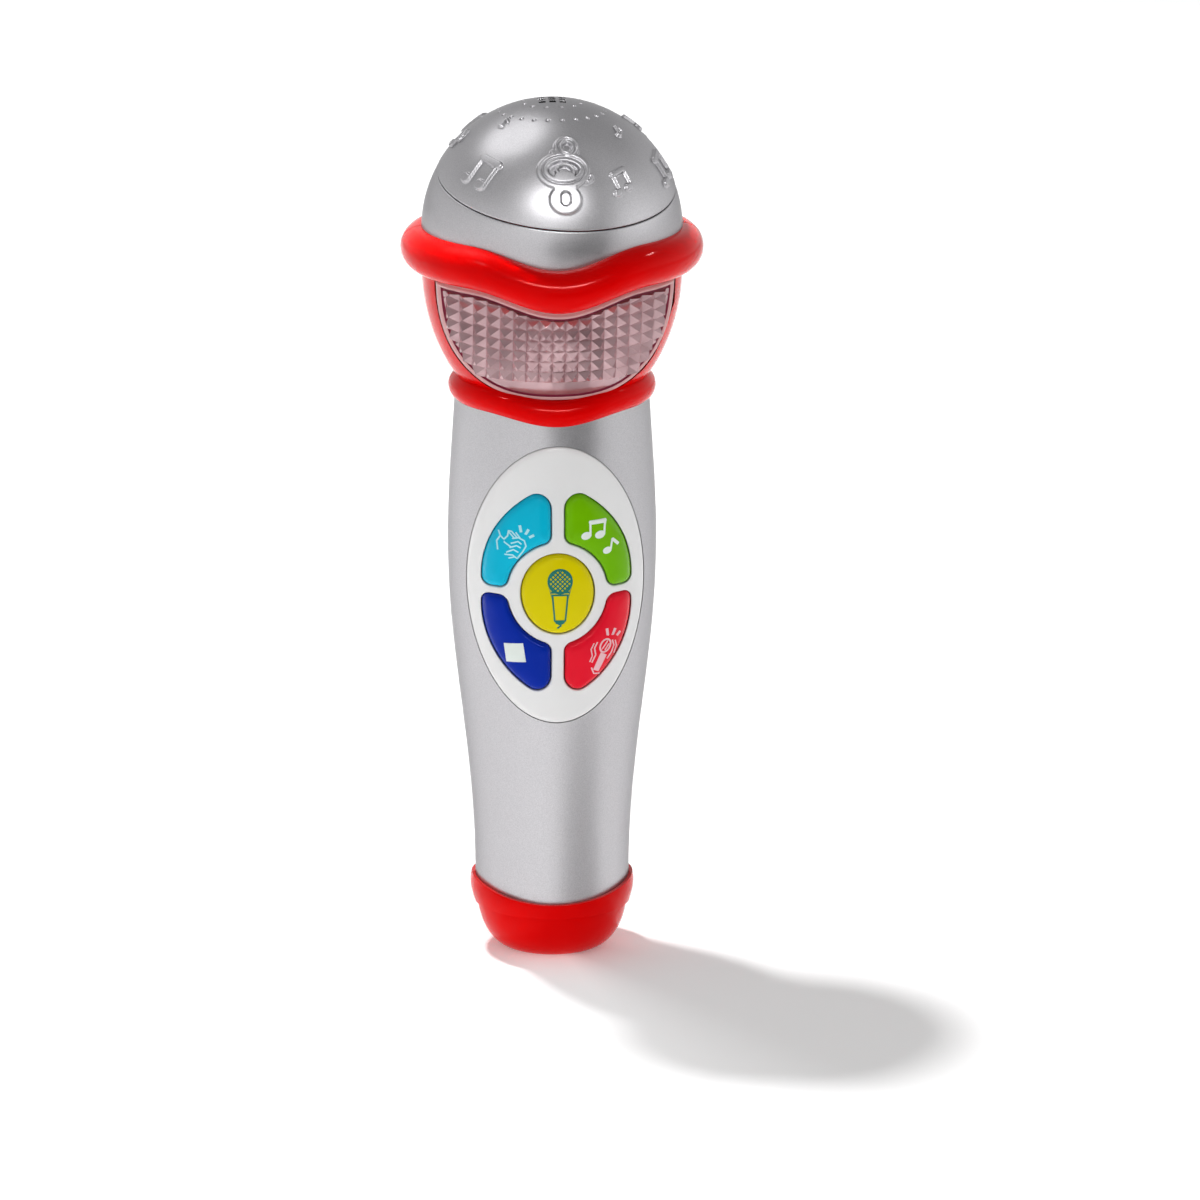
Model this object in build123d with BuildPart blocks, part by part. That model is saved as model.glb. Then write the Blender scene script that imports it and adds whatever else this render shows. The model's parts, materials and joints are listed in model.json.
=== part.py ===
from build123d import *
import math

# A toy microphone that stands on its foot: silver handle and dome, red head casing with a clear
# window, and an oval control panel with five push buttons. Two AAA cells, the electronics and
# the speaker are inside.
# Millimetres, +Z up, the buttons face -Y, and the origin is the centre of the flat foot.

# ---- driving dimensions -------------------------------------------------------------------
HEIGHT = 200.0  # foot to the top of the dome
WALL = 1.8  # handle shells
GAP = 0.15  # between fixed neighbours
PLAY = 0.3  # between a moving piece and what it moves in

# Handle: radius and height of points on its side, foot end first.
HANDLE_BOTTOM = 11.0
HANDLE_TOP = 132.0
HANDLE_SIDE = [
    (17.8, HANDLE_BOTTOM),
    (17.8, 18.0),
    (18.4, 34.0),
    (20.75, 57.0),
    (23.3, 80.0),
    (24.0, 99.0),
    (22.95, 122.0),
    (22.3, HANDLE_TOP),
]

# Dome: a ball cut off by the upper ring, with a tilted joint between its cap and its band.
DOME_R = 29.8
DOME_Z = HEIGHT - DOME_R
DOME_WALL = 2.0
JOINT_Z = 182.8  # where the joint crosses the axis
JOINT_TILT = 14.0
JOINT_AZIMUTH = 16.5  # its lowest point, from the front towards +X
JOINT_GAP = 0.12

# Red head casing: an egg-shaped bowl between two round rings that dip at the front.
BOWL_Z = 161.7
BOWL_A = 29.8
BOWL_B = 37.5
BOWL_WALL = 2.0
RING_Z = 166.2
RING_R = 29.7
RING_TUBE = 4.9
RING_DIP = 4.4
RING_DIP_HALF = 20.0
COLLAR_Z = 133.9
COLLAR_R = 20.5
COLLAR_TUBE = 3.3
COLLAR_DIP = 2.4
COLLAR_DIP_HALF = 16.0
NECK_IN = 18.4
NECK_OUT = 19.9
NECK_BOTTOM = 120.0

# Clear window in the bowl, seen from the front.
WINDOW_HALF = 27.4
WINDOW_SIDE = [(0.0, 134.5), (15.6, 137.2), (22.9, 143.9), (26.6, 153.5), (WINDOW_HALF, 164.0)]

# Control panel and buttons, seen from the front.
PANEL_Z = 91.65
PANEL_A = 20.4
PANEL_B = 32.85
PANEL_PROUD = 0.4
LEDGE = 2.2  # width of the step that the panel sits on
BUTTON_Z = 90.2
CENTRE_A = 8.3
CENTRE_B = 9.4
SPOKE_X = 1.6  # half the upright bar between them
SPOKE_Z = 1.0  # half the level bar between them
BUTTON_TRAVEL = 0.8
POST_X = 7.8  # posts behind the quarter buttons
POST_Z = 12.8

# Circuit board behind the buttons.
BOARD_HALF = 13.0
BOARD_LOW = 60.5
BOARD_HIGH = 120.0
BOARD_Y = -11.0  # its front face
BOARD_T = 1.2
BOARD_SCREWS = [(-6.0, 117.3), (6.0, 117.3), (0.0, 63.3)]

# Battery bay: two AAA cells side by side.
CELL_R = 5.25
CELL_LENGTH = 44.5
CELL_X = 5.35
CELL_Y = 3.0
TRAY_HALF = 11.8
TRAY_LOW = 21.2
TRAY_HIGH = 81.2
POCKET_HALF = 10.75
POCKET_LOW = 22.4
POCKET_HIGH = 72.6
CONTACT_T = 0.4
DOOR_HALF = 11.2
DOOR_LOW = 21.2
DOOR_HIGH = 81.4
DOOR_SCREW_Z = 76.9

# Power switch on the back.
SWITCH_Z = 98.0
SWITCH_TRAVEL = 4.0

# Base: an arched trim over the handle's end, and the foot.
TRIM_LOW = 10.9
TRIM_SIDE_HIGH = 17.8
TRIM_FRONT_HIGH = 14.4
FOOT_R = 10.0
FOOT_SIDE_A = 7.6
FOOT_SIDE_B = 13.5
FOOT_TOP = 10.8

# Fasteners: shank radius, and the hole that it is in.
SCREW_R = 1.1
SCREW_HOLE_R = 1.15
HEAD_R = 2.0
HEAD_T = 1.4
CASE_SCREWS = [(-18.8, 108.0), (18.8, 108.0), (-15.0, 48.0), (15.0, 48.0)]
CASE_SCREW_SEAT = 5.0
HEAD_SCREWS = [(-25.6, 156.5), (25.6, 156.5)]
HEAD_SCREW_SEAT = 5.0
SPEAKER_SCREW_R = 18.6
SPEAKER_SCREWS = [
    (SPEAKER_SCREW_R * math.sin(math.radians(a)), -SPEAKER_SCREW_R * math.cos(math.radians(a)))
    for a in (-60, 60, 180)
]
SPEAKER_Z = 187.0  # top of the speaker's flange
SPEAKER_R = 15.0
FAR = 60.0  # longer than any cut needs

pieces = {}


# ---- shared curves and profiles -----------------------------------------------------------
def handle_band(out, inward, low=HANDLE_BOTTOM, high=HANDLE_TOP):
    """The face between two curves beside the handle's side, at these distances from it."""
    with BuildSketch(Plane.XZ) as band:
        with BuildLine():
            outer = Spline(*[(r + out, z) for r, z in HANDLE_SIDE])
            inner = Spline(*[(r - inward, z) for r, z in HANDLE_SIDE])
            Line(outer @ 0, inner @ 0)
            Line(outer @ 1, inner @ 1)
        make_face()
        with Locations((0, (low + high) / 2)):
            Rectangle(2 * FAR, high - low, mode=Mode.INTERSECT)
    return band.sketch


def handle_core(shrink):
    """The face from the axis to a curve inside the handle's side."""
    with BuildSketch(Plane.XZ) as core:
        with BuildLine():
            side = Spline(*[(r - shrink, z) for r, z in HANDLE_SIDE])
            Polyline(side @ 1, (0, HANDLE_TOP), (0, HANDLE_BOTTOM), side @ 0)
        make_face()
    return core.sketch


def bowl_band(out, inward):
    """The face between two ellipses beside the bowl's side."""
    with BuildSketch(Plane.XZ) as band:
        with Locations((0, BOWL_Z)):
            Ellipse(BOWL_A + out, BOWL_B + out)
            Ellipse(BOWL_A - inward, BOWL_B - inward, mode=Mode.SUBTRACT)
        with Locations((FAR / 2, (COLLAR_Z + RING_Z) / 2 + 2)):
            Rectangle(FAR, RING_Z - COLLAR_Z + 6, mode=Mode.INTERSECT)
    return band.sketch


def dip(x, depth, half):
    """How far a ring is lower at x than at the sides."""
    if abs(x) >= half:
        return 0.0
    return depth * 0.5 * (1 + math.cos(math.pi * x / half))


def above_wave(drop):
    """The front-view area above the upper ring's centre line, lowered by drop."""
    level = RING_Z - drop
    step = RING_DIP_HALF / 4
    wave = [(i * step, level - dip(i * step, RING_DIP, RING_DIP_HALF)) for i in range(-4, 5)]
    with BuildSketch(Plane.XZ) as area:
        with BuildLine():
            curve = Spline(*wave, tangents=[(1, 0), (1, 0)])
            Polyline(
                curve @ 1, (FAR, level), (FAR, HEIGHT + 5), (-FAR, HEIGHT + 5), (-FAR, level), curve @ 0
            )
        make_face()
    return area.sketch


def window_outline(grow):
    """The window's front-view outline, larger by grow."""
    half_height = RING_Z - WINDOW_SIDE[0][1]
    side = [
        (x * (1 + grow / WINDOW_HALF), RING_Z + (z - RING_Z) * (1 + grow / half_height))
        for x, z in WINDOW_SIDE
    ]
    left = [(-x, z) for x, z in reversed(side[1:])]
    with BuildSketch(Plane.XZ) as outline:
        with BuildLine():
            bowl_edge = Spline(*left, *side, tangents=[(0, -1), (0, 1)])
            Line(bowl_edge @ 1, bowl_edge @ 0)
        make_face()
        add(above_wave(RING_TUBE + 0.1 - grow), mode=Mode.SUBTRACT)
    return outline.sketch


def quarter_outline(side, level, grow):
    """One quarter button's front-view outline; side and level are -1 or +1."""

    def at(x, rise):
        return (side * x, BUTTON_Z + level * rise)

    with BuildSketch(Plane.XZ) as outline:
        with BuildLine():
            Line(at(SPOKE_X, 12.1), at(SPOKE_X, 25.0))
            ThreePointArc(at(SPOKE_X, 25.0), at(12.9, 16.4), at(16.9, SPOKE_Z))
            Line(at(16.9, SPOKE_Z), at(11.5, SPOKE_Z))
            ThreePointArc(at(11.5, SPOKE_Z), at(8.4, 8.3), at(SPOKE_X, 12.1))
        make_face()
        by_height = outline.vertices().sort_by(Axis.Y)
        tip = by_height[-1] if level > 0 else by_height[0]
        fillet(tip, 3.6)
        sharp = [v for v in outline.vertices() if abs(v.Y - BUTTON_Z) < 14]
        fillet(sharp, 2.0)
        if grow:
            offset(amount=grow)
    return outline.sketch


def centre_outline(grow):
    """The centre button's front-view outline, larger by grow."""
    with BuildSketch(Plane.XZ) as outline:
        with Locations((0, BUTTON_Z)):
            Ellipse(CENTRE_A + grow, CENTRE_B + grow)
    return outline.sketch


def panel_outline(grow):
    """The control panel's front-view outline, larger by grow."""
    with BuildSketch(Plane.XZ) as outline:
        with Locations((0, PANEL_Z)):
            Ellipse(PANEL_A + grow, PANEL_B + grow)
    return outline.sketch


def door_outline(grow):
    """The battery door's outline, seen along Y."""
    with BuildSketch(Plane.XZ) as outline:
        with Locations((0, (DOOR_LOW + DOOR_HIGH) / 2)):
            RectangleRounded(2 * DOOR_HALF + 2 * grow, DOOR_HIGH - DOOR_LOW + 2 * grow, 3 + grow)
    return outline.sketch


def discs_along_y(places, radius, y):
    """Discs of this radius on the plane at this y, at (x, z) places. They extrude towards -Y."""
    with BuildSketch(Plane.XZ.offset(-y)) as discs:
        with Locations(*places):
            Circle(radius)
    return discs.sketch


def screw_profile(shank_r, shank, head_r, head):
    """Half the section of a pan-head screw on its axis, with the head's underside at 0."""
    with BuildSketch(Plane.XZ) as profile:
        with BuildLine():
            Polyline(
                (0, head), (head_r * 0.6, head), (head_r, head * 0.4), (head_r, 0), (shank_r, 0),
                (shank_r, -shank + shank_r), (0, -shank), (0, head),
            )
        make_face()
    return profile.sketch


def pan_screw(shank_r, shank, head_r, head):
    """A cross-recess screw that points down, with its head's underside at the origin."""
    with BuildPart() as screw:
        revolve(screw_profile(shank_r, shank, head_r, head), axis=Axis.Z)
        with BuildSketch(Plane.XY.offset(head)):
            Rectangle(head_r * 1.1, head_r * 0.28)
            Rectangle(head_r * 0.28, head_r * 1.1)
        extrude(amount=-head * 0.7, mode=Mode.SUBTRACT)
    return screw.part


# ---- handle -------------------------------------------------------------------------------
def bosses_along_y(places, radius, near, far):
    """Round posts along Y from y = near to y = far, as one part."""
    with BuildPart() as posts:
        extrude(discs_along_y(places, radius, near), amount=near - far)
    return posts.part


with BuildPart() as handle_front_posts:
    add(bosses_along_y(CASE_SCREWS[:2], 2.3, -0.05, -9.0))
    add(bosses_along_y(CASE_SCREWS[2:], 2.3, -0.05, -12.5))
    revolve(handle_core(0.4), axis=Axis.Z, mode=Mode.INTERSECT)
with BuildPart() as handle_front:
    revolve(handle_band(0, WALL), axis=Axis.Z, revolution_arc=-180)
    revolve(handle_band(-WALL + 0.2, WALL + 0.9, 125.0, 127.0), axis=Axis.Z, revolution_arc=-180)
    add(handle_front_posts.part)
    extrude(discs_along_y(CASE_SCREWS, SCREW_HOLE_R, 0), amount=7.5, mode=Mode.SUBTRACT)
    extrude(panel_outline(-LEDGE), amount=FAR, mode=Mode.SUBTRACT)
with BuildPart() as panel_recess:
    extrude(panel_outline(0), amount=FAR)
    revolve(handle_band(2, 0.95), axis=Axis.Z, mode=Mode.INTERSECT)
with BuildPart() as handle_front_shell:
    add(handle_front.part)
    add(panel_recess.part, mode=Mode.SUBTRACT)
pieces["handle_front"] = handle_front_shell

with BuildPart() as handle_back_posts:
    add(bosses_along_y(CASE_SCREWS[:2], 3.2, 20.0, 0.05))
    add(bosses_along_y(CASE_SCREWS[2:], 3.0, 16.0, 0.05))
    revolve(handle_core(0.4), axis=Axis.Z, mode=Mode.INTERSECT)
with BuildPart() as handle_back:
    revolve(handle_band(0, WALL), axis=Axis.Z, revolution_arc=180)
    revolve(handle_band(-WALL + 0.2, WALL + 0.9, 125.0, 127.0), axis=Axis.Z, revolution_arc=180)
    add(handle_back_posts.part)
    extrude(discs_along_y(CASE_SCREWS, SCREW_HOLE_R, FAR), amount=2 * FAR, mode=Mode.SUBTRACT)
    extrude(
        discs_along_y(CASE_SCREWS, HEAD_R + 0.3, FAR), amount=FAR - CASE_SCREW_SEAT, mode=Mode.SUBTRACT
    )
    extrude(door_outline(0), amount=-FAR, mode=Mode.SUBTRACT)
    with BuildSketch(Plane.XZ.offset(-22.8)):
        with Locations((0, SWITCH_Z)):
            RectangleRounded(9.6, 16.0, 2.5)
    extrude(amount=-5, mode=Mode.SUBTRACT)
    with BuildSketch(Plane.XZ):
        with Locations((0, SWITCH_Z)):
            Rectangle(5.2, 9.6)
    extrude(amount=-FAR, mode=Mode.SUBTRACT)
pieces["handle_back"] = handle_back

# ---- control panel and buttons ------------------------------------------------------------
QUARTERS = {
    "button_clap": (-1, 1),
    "button_music": (1, 1),
    "button_stop": (-1, -1),
    "button_shake": (1, -1),
}

with BuildPart() as panel_plate:
    extrude(panel_outline(-GAP), amount=FAR)
    revolve(handle_band(PANEL_PROUD, 0.9), axis=Axis.Z, mode=Mode.INTERSECT)
with BuildPart() as control_panel:
    add(panel_plate.part)
    extrude(discs_along_y(BOARD_SCREWS, 1.9, BOARD_Y), amount=11.3)
    extrude(discs_along_y(BOARD_SCREWS, 1.05, BOARD_Y), amount=6, mode=Mode.SUBTRACT)
    extrude(centre_outline(PLAY), amount=FAR, mode=Mode.SUBTRACT)
    for side, level in QUARTERS.values():
        extrude(quarter_outline(side, level, PLAY), amount=FAR, mode=Mode.SUBTRACT)
pieces["control_panel"] = control_panel

MAT_Y = BOARD_Y - 1.0
PAD_TOP = MAT_Y - 2.2
FLANGE_OUT = -1.15
FLANGE_IN = 2.3


def push_button(outline, flange_outline, proud, post, post_length):
    """A convex cap that follows the handle, its flange behind the panel, and its post."""
    with BuildPart() as cap:
        extrude(outline, amount=FAR)
        revolve(handle_band(proud, FLANGE_IN), axis=Axis.Z, mode=Mode.INTERSECT)
    with BuildPart() as flange:
        extrude(flange_outline, amount=FAR)
        revolve(handle_band(FLANGE_OUT, FLANGE_IN), axis=Axis.Z, mode=Mode.INTERSECT)
    with BuildPart() as button:
        add(cap.part)
        add(flange.part)
        extrude(discs_along_y([post], 2.0, PAD_TOP), amount=post_length)
    return button


pieces["button_sing"] = push_button(centre_outline(0), centre_outline(0.7), 1.1, (0, BUTTON_Z), 8.2)
for name, (side, level) in QUARTERS.items():
    pieces[name] = push_button(
        quarter_outline(side, level, 0),
        quarter_outline(side, level, 0.6),
        0.9,
        (side * POST_X, BUTTON_Z + level * POST_Z),
        6.8,
    )

PADS = [(0, BUTTON_Z)] + [(s * POST_X, BUTTON_Z + v * POST_Z) for s, v in QUARTERS.values()]
with BuildPart() as keypad:
    with BuildSketch(Plane.XZ.offset(-BOARD_Y)):
        with Locations((0, BUTTON_Z)):
            RectangleRounded(24.4, 48.0, 3)
    extrude(amount=1.0)
    for place in PADS:
        with BuildSketch(Plane.XZ.offset(-MAT_Y)):
            with Locations(place):
                Circle(3.6)
        extrude(amount=2.2, taper=25)
pieces["keypad"] = keypad

# ---- circuit board ------------------------------------------------------------------------
BOARD_BACK = BOARD_Y + BOARD_T

with BuildPart() as main_board:
    with BuildSketch(Plane.XZ.offset(-BOARD_BACK)):
        with Locations((0, (BOARD_LOW + BOARD_HIGH) / 2)):
            RectangleRounded(2 * BOARD_HALF, BOARD_HIGH - BOARD_LOW, 1.5)
        with Locations(*BOARD_SCREWS):
            Circle(1.15, mode=Mode.SUBTRACT)
    extrude(amount=BOARD_T)
pieces["main_board"] = main_board

with BuildPart() as board_parts:
    with Locations(Location((-3, BOARD_BACK, 92), (-90, 0, 0))):
        Cylinder(5.0, 1.3, align=(Align.CENTER, Align.CENTER, Align.MIN))
    for x, z, radius, length in [(7.5, 108, 3.0, 7.0), (-8, 109, 2.0, 5.0)]:
        with Locations(Location((x, BOARD_BACK, z), (-90, 0, 0))):
            Cylinder(radius, length, align=(Align.CENTER, Align.CENTER, Align.MIN))
    for x, z, width, height, depth in [
        (7, 92, 5.0, 4.0, 1.5),
        (8, 84, 2.0, 1.25, 0.6),
        (8, 81, 2.0, 1.25, 0.6),
        (3, 81, 1.25, 2.0, 0.6),
        (-9, 80, 2.0, 1.25, 0.6),
        (0, 103, 3.0, 1.4, 1.0),
    ]:
        with Locations((x, BOARD_BACK, z)):
            Box(width, depth, height, align=(Align.CENTER, Align.MIN, Align.CENTER))
pieces["board_components"] = board_parts

with BuildPart() as shake_sensor:
    with Locations(Location((0, BOARD_BACK + 3.0, 110), (0, 0, 0))):
        Cylinder(2.4, 9.0)
    with Locations((0, BOARD_BACK, 110)):
        Box(3.0, 1.4, 8.0, align=(Align.CENTER, Align.MIN, Align.CENTER))
pieces["shake_sensor"] = shake_sensor

board_screw = pan_screw(1.0, 6.5, 1.9, 1.2)
with BuildPart() as board_screws:
    for x, z in BOARD_SCREWS:
        add(Location((x, BOARD_BACK, z), (-90, 0, 0)) * board_screw)
pieces["board_screws"] = board_screws

# ---- battery bay --------------------------------------------------------------------------
TRAY_FRONT = CELL_Y - CELL_R - 1.6
DOOR_BOSS_END = 16.6
WIRE_X = 9.2  # where the battery wires leave the bay
WIRE_Y = 1.5

with BuildPart() as battery_tray:
    with Locations((0, TRAY_FRONT, (TRAY_LOW + TRAY_HIGH) / 2)):
        Box(
            2 * TRAY_HALF, 40, TRAY_HIGH - TRAY_LOW, align=(Align.CENTER, Align.MIN, Align.CENTER)
        )
    with Locations((0, TRAY_FRONT + 1.4, (POCKET_LOW + POCKET_HIGH) / 2)):
        Box(
            2 * POCKET_HALF,
            40,
            POCKET_HIGH - POCKET_LOW,
            align=(Align.CENTER, Align.MIN, Align.CENTER),
            mode=Mode.SUBTRACT,
        )
    with Locations((0, TRAY_FRONT + 1.4, (POCKET_HIGH + TRAY_HIGH) / 2)):
        Box(
            2 * POCKET_HALF,
            40,
            TRAY_HIGH - POCKET_HIGH - 2.4,
            align=(Align.CENTER, Align.MIN, Align.CENTER),
            mode=Mode.SUBTRACT,
        )
    with BuildSketch(Plane.XZ.offset(-TRAY_FRONT - 1)):
        with Locations((0, DOOR_SCREW_Z)):
            Circle(2.8)
    extrude(amount=-(DOOR_BOSS_END - TRAY_FRONT - 1))
    with Locations((-WIRE_X, WIRE_Y, POCKET_HIGH), (WIRE_X, WIRE_Y, POCKET_HIGH)):
        Cylinder(0.9, 30, mode=Mode.SUBTRACT)
    revolve(handle_core(WALL + GAP), axis=Axis.Z, mode=Mode.INTERSECT)
    extrude(discs_along_y([(0, DOOR_SCREW_Z)], 1.3, DOOR_BOSS_END + 2), amount=11, mode=Mode.SUBTRACT)
pieces["battery_tray"] = battery_tray

CELL_LOW = POCKET_LOW + CONTACT_T
CELL_HIGH = POCKET_HIGH - CONTACT_T
SPRING_LENGTH = CELL_HIGH - CELL_LOW - CELL_LENGTH

with BuildSketch(Plane.XZ) as cell_profile:
    with BuildLine():
        Polyline(
            (0, 0), (4.6, 0), (CELL_R, 0.6), (CELL_R, CELL_LENGTH - 1.7),
            (4.6, CELL_LENGTH - 1.1), (1.9, CELL_LENGTH - 1.1), (1.9, CELL_LENGTH), (0, CELL_LENGTH), (0, 0),
        )
    make_face()
with BuildPart() as one_cell:
    revolve(cell_profile.sketch, axis=Axis.Z)
with BuildPart() as cells:
    add(Location((-CELL_X, CELL_Y, CELL_HIGH - CELL_LENGTH)) * one_cell.part)
    add(Location((CELL_X, CELL_Y, CELL_LOW + CELL_LENGTH), (180, 0, 0)) * one_cell.part)
pieces["aaa_cells"] = cells

with BuildPart() as contacts:
    with Locations((0, CELL_Y, POCKET_LOW)):
        Box(19.5, 8.5, CONTACT_T, align=(Align.CENTER, Align.CENTER, Align.MIN))
    with Locations((-CELL_X, CELL_Y, POCKET_HIGH), (CELL_X, CELL_Y, POCKET_HIGH)):
        Box(8.8, 8.5, CONTACT_T, align=(Align.CENTER, Align.CENTER, Align.MAX))
pieces["battery_contacts"] = contacts

WIRE_R = 0.3
with BuildPart() as one_spring:
    with BuildLine():
        coil = Helix(pitch=1.1, height=SPRING_LENGTH - 2 * WIRE_R, radius=3.0)
    with BuildSketch(Plane(origin=coil @ 0, z_dir=coil % 0)):
        Circle(WIRE_R)
    sweep(is_frenet=True)
with BuildPart() as springs:
    add(Location((-CELL_X, CELL_Y, CELL_LOW + WIRE_R + 0.02)) * one_spring.part)
    add(Location((CELL_X, CELL_Y, CELL_HIGH - WIRE_R - 0.02), (180, 0, 0)) * one_spring.part)
pieces["battery_springs"] = springs

DOOR_SEAT = 18.4
with BuildPart() as battery_door:
    extrude(door_outline(-0.25), amount=-FAR)
    revolve(handle_band(0, WALL), axis=Axis.Z, mode=Mode.INTERSECT)
    extrude(discs_along_y([(0, DOOR_SCREW_Z)], 2.9, DOOR_BOSS_END + 0.3), amount=-5.0)
    for z in (30, 34, 38, 42):
        with BuildSketch(Plane.XZ.offset(-FAR)):
            with Locations((0, z)):
                SlotOverall(9, 1.2)
        extrude(amount=FAR - 17.6 - (z - 30) * 0.045, mode=Mode.SUBTRACT)
    extrude(discs_along_y([(0, DOOR_SCREW_Z)], 2.3, FAR), amount=FAR - DOOR_SEAT, mode=Mode.SUBTRACT)
    extrude(discs_along_y([(0, DOOR_SCREW_Z)], 1.3, FAR), amount=FAR, mode=Mode.SUBTRACT)
pieces["battery_door"] = battery_door

door_screw = pan_screw(1.22, 9.0, 2.1, 1.6)
with BuildPart() as door_screw_placed:
    add(Location((0, DOOR_SEAT + 0.02, DOOR_SCREW_Z), (-90, 0, 0)) * door_screw)
pieces["door_screw"] = door_screw_placed

case_screw = pan_screw(SCREW_R, 11.0, HEAD_R, HEAD_T)
with BuildPart() as case_screws:
    for x, z in CASE_SCREWS:
        add(Location((x, CASE_SCREW_SEAT, z), (-90, 0, 0)) * case_screw)
pieces["case_screws"] = case_screws

# ---- power switch -------------------------------------------------------------------------
SLIDER_LOW = SWITCH_Z - SWITCH_TRAVEL / 2  # middle of the knob when it is off
with BuildPart() as power_slider:
    with Locations((0, 20.2, SLIDER_LOW)):
        Box(8.0, 1.2, 12.0, align=(Align.CENTER, Align.MIN, Align.CENTER))
        Box(4.4, 3.9, 4.8, align=(Align.CENTER, Align.MIN, Align.CENTER))
    for z in (-1.5, 0, 1.5):
        with Locations((0, 24.3, SLIDER_LOW + z)):
            Box(4.4, 0.7, 0.6, align=(Align.CENTER, Align.MAX, Align.CENTER))
    with Locations((0, 16.9, SLIDER_LOW)):
        Box(1.6, 3.5, 1.6, align=(Align.CENTER, Align.MIN, Align.CENTER))
pieces["power_slider"] = power_slider

with BuildPart() as power_switch:
    with Locations((0, 12.6, SWITCH_Z)):
        Box(5.4, 4.6, 12.0, align=(Align.CENTER, Align.MIN, Align.CENTER))
    with Locations((0, 16.4, SWITCH_Z)):
        Box(2.4, 3.0, 7.2, align=(Align.CENTER, Align.MIN, Align.CENTER), mode=Mode.SUBTRACT)
    with Locations(*[(0, 12.6, SWITCH_Z + z) for z in (-3, 0, 3)]):
        Box(1.4, 2.6, 0.5, align=(Align.CENTER, Align.MAX, Align.CENTER))
pieces["power_switch"] = power_switch

# A frame that is welded inside the back shell carries the switch, clear of the slider's plate.
with BuildPart() as switch_bracket:
    for z in (-9.6, 9.6):
        with Locations((0, 11.6, SWITCH_Z + z)):
            Box(13.0, 5.6, 1.6, align=(Align.CENTER, Align.MIN, Align.CENTER))
    for x in (-5.7, 5.7):
        with Locations((x, 11.6, SWITCH_Z)):
            Box(1.6, 20, 20.8, align=(Align.CENTER, Align.MIN, Align.CENTER))
    for x in (-3.8, 3.8):
        with Locations((x, 11.6, SWITCH_Z)):
            Box(2.2, 5.6, 12.8, align=(Align.CENTER, Align.MIN, Align.CENTER))
    revolve(handle_core(WALL + 0.02), axis=Axis.Z, mode=Mode.INTERSECT)
pieces["switch_bracket"] = switch_bracket

# ---- base ---------------------------------------------------------------------------------
with BuildSketch(Plane.XZ) as trim_profile:
    with BuildLine():
        edge = Spline((18.15, TRIM_LOW), (18.6, 12.4), (19.0, 15.4), (18.55, TRIM_SIDE_HIGH))
        Polyline(edge @ 1, (17.85, TRIM_SIDE_HIGH), (17.85, TRIM_LOW), edge @ 0)
    make_face()
with BuildSketch(Plane.XZ) as arch:
    with BuildLine():
        curve = ThreePointArc((-20, TRIM_SIDE_HIGH), (0, TRIM_FRONT_HIGH), (20, TRIM_SIDE_HIGH))
        Polyline(curve @ 1, (20, 25), (-20, 25), curve @ 0)
    make_face()
for name, arc in (("base_trim_front", -180), ("base_trim_back", 180)):
    with BuildPart() as trim:
        revolve(trim_profile.sketch, axis=Axis.Z, revolution_arc=arc)
        extrude(arch.sketch, amount=FAR, both=True, mode=Mode.SUBTRACT)
        with Locations((0, 0, TRIM_LOW)):
            Box(2 * FAR, 0.24, 20, mode=Mode.SUBTRACT)
    pieces[name] = trim

with BuildSketch(Plane.XZ) as foot_profile:
    with BuildLine():
        rise = 90 - math.degrees(math.asin((FOOT_SIDE_B - FOOT_TOP) / FOOT_SIDE_B))
        side = EllipticalCenterArc(
            (FOOT_R, FOOT_SIDE_B), FOOT_SIDE_A, FOOT_SIDE_B, start_angle=-90, arc_size=rise
        )
        Polyline(
            side @ 1, (15.85, FOOT_TOP), (15.85, 15.0), (14.2, 15.0), (14.2, 6.5), (10.5, 2.2), (0, 2.2),
            (0, 0), side @ 0,
        )
    make_face()
with BuildPart() as foot_cap:
    revolve(foot_profile.sketch, axis=Axis.Z)
pieces["foot_cap"] = foot_cap

# ---- head casing --------------------------------------------------------------------------
with BuildPart() as dome_zone:
    extrude(above_wave(0), amount=FAR)
    with Locations((0, FAR / 2, RING_Z + FAR / 2)):
        Box(2 * FAR, FAR, FAR)


def ring_section(plane, radius, tube, inner):
    """The part of a round tube's section that lies beyond the radius inner, on this plane."""
    with BuildSketch(plane) as section:
        with Locations((radius, 0)):
            Circle(tube)
        with Locations((inner, 0)):
            Rectangle(2 * tube, 2 * tube, align=(Align.MIN, Align.CENTER), mode=Mode.INTERSECT)
    return section.sketch


def dipping_ring(radius, tube, inner, level, depth, half):
    """The front half of a ring that dips at the front, as short straight lengths."""
    with BuildPart() as ring:
        for i in range(RING_STEPS + 1):
            angle = math.pi * i / RING_STEPS
            height = level - dip(radius * math.cos(angle), depth, half)
            plane = Plane(
                origin=(0, 0, height),
                x_dir=(math.cos(angle), -math.sin(angle), 0),
                z_dir=(math.sin(angle), math.cos(angle), 0),
            )
            add(ring_section(plane, radius, tube, inner))
        loft(ruled=True)
    return ring


def level_ring(radius, tube, inner, level):
    """The back half of a ring with this section."""
    with BuildPart() as ring:
        add(ring_section(Plane((0, 0, level), x_dir=(1, 0, 0), z_dir=(0, -1, 0)), radius, tube, inner))
        revolve(axis=Axis.Z, revolution_arc=180)
    return ring


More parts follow.
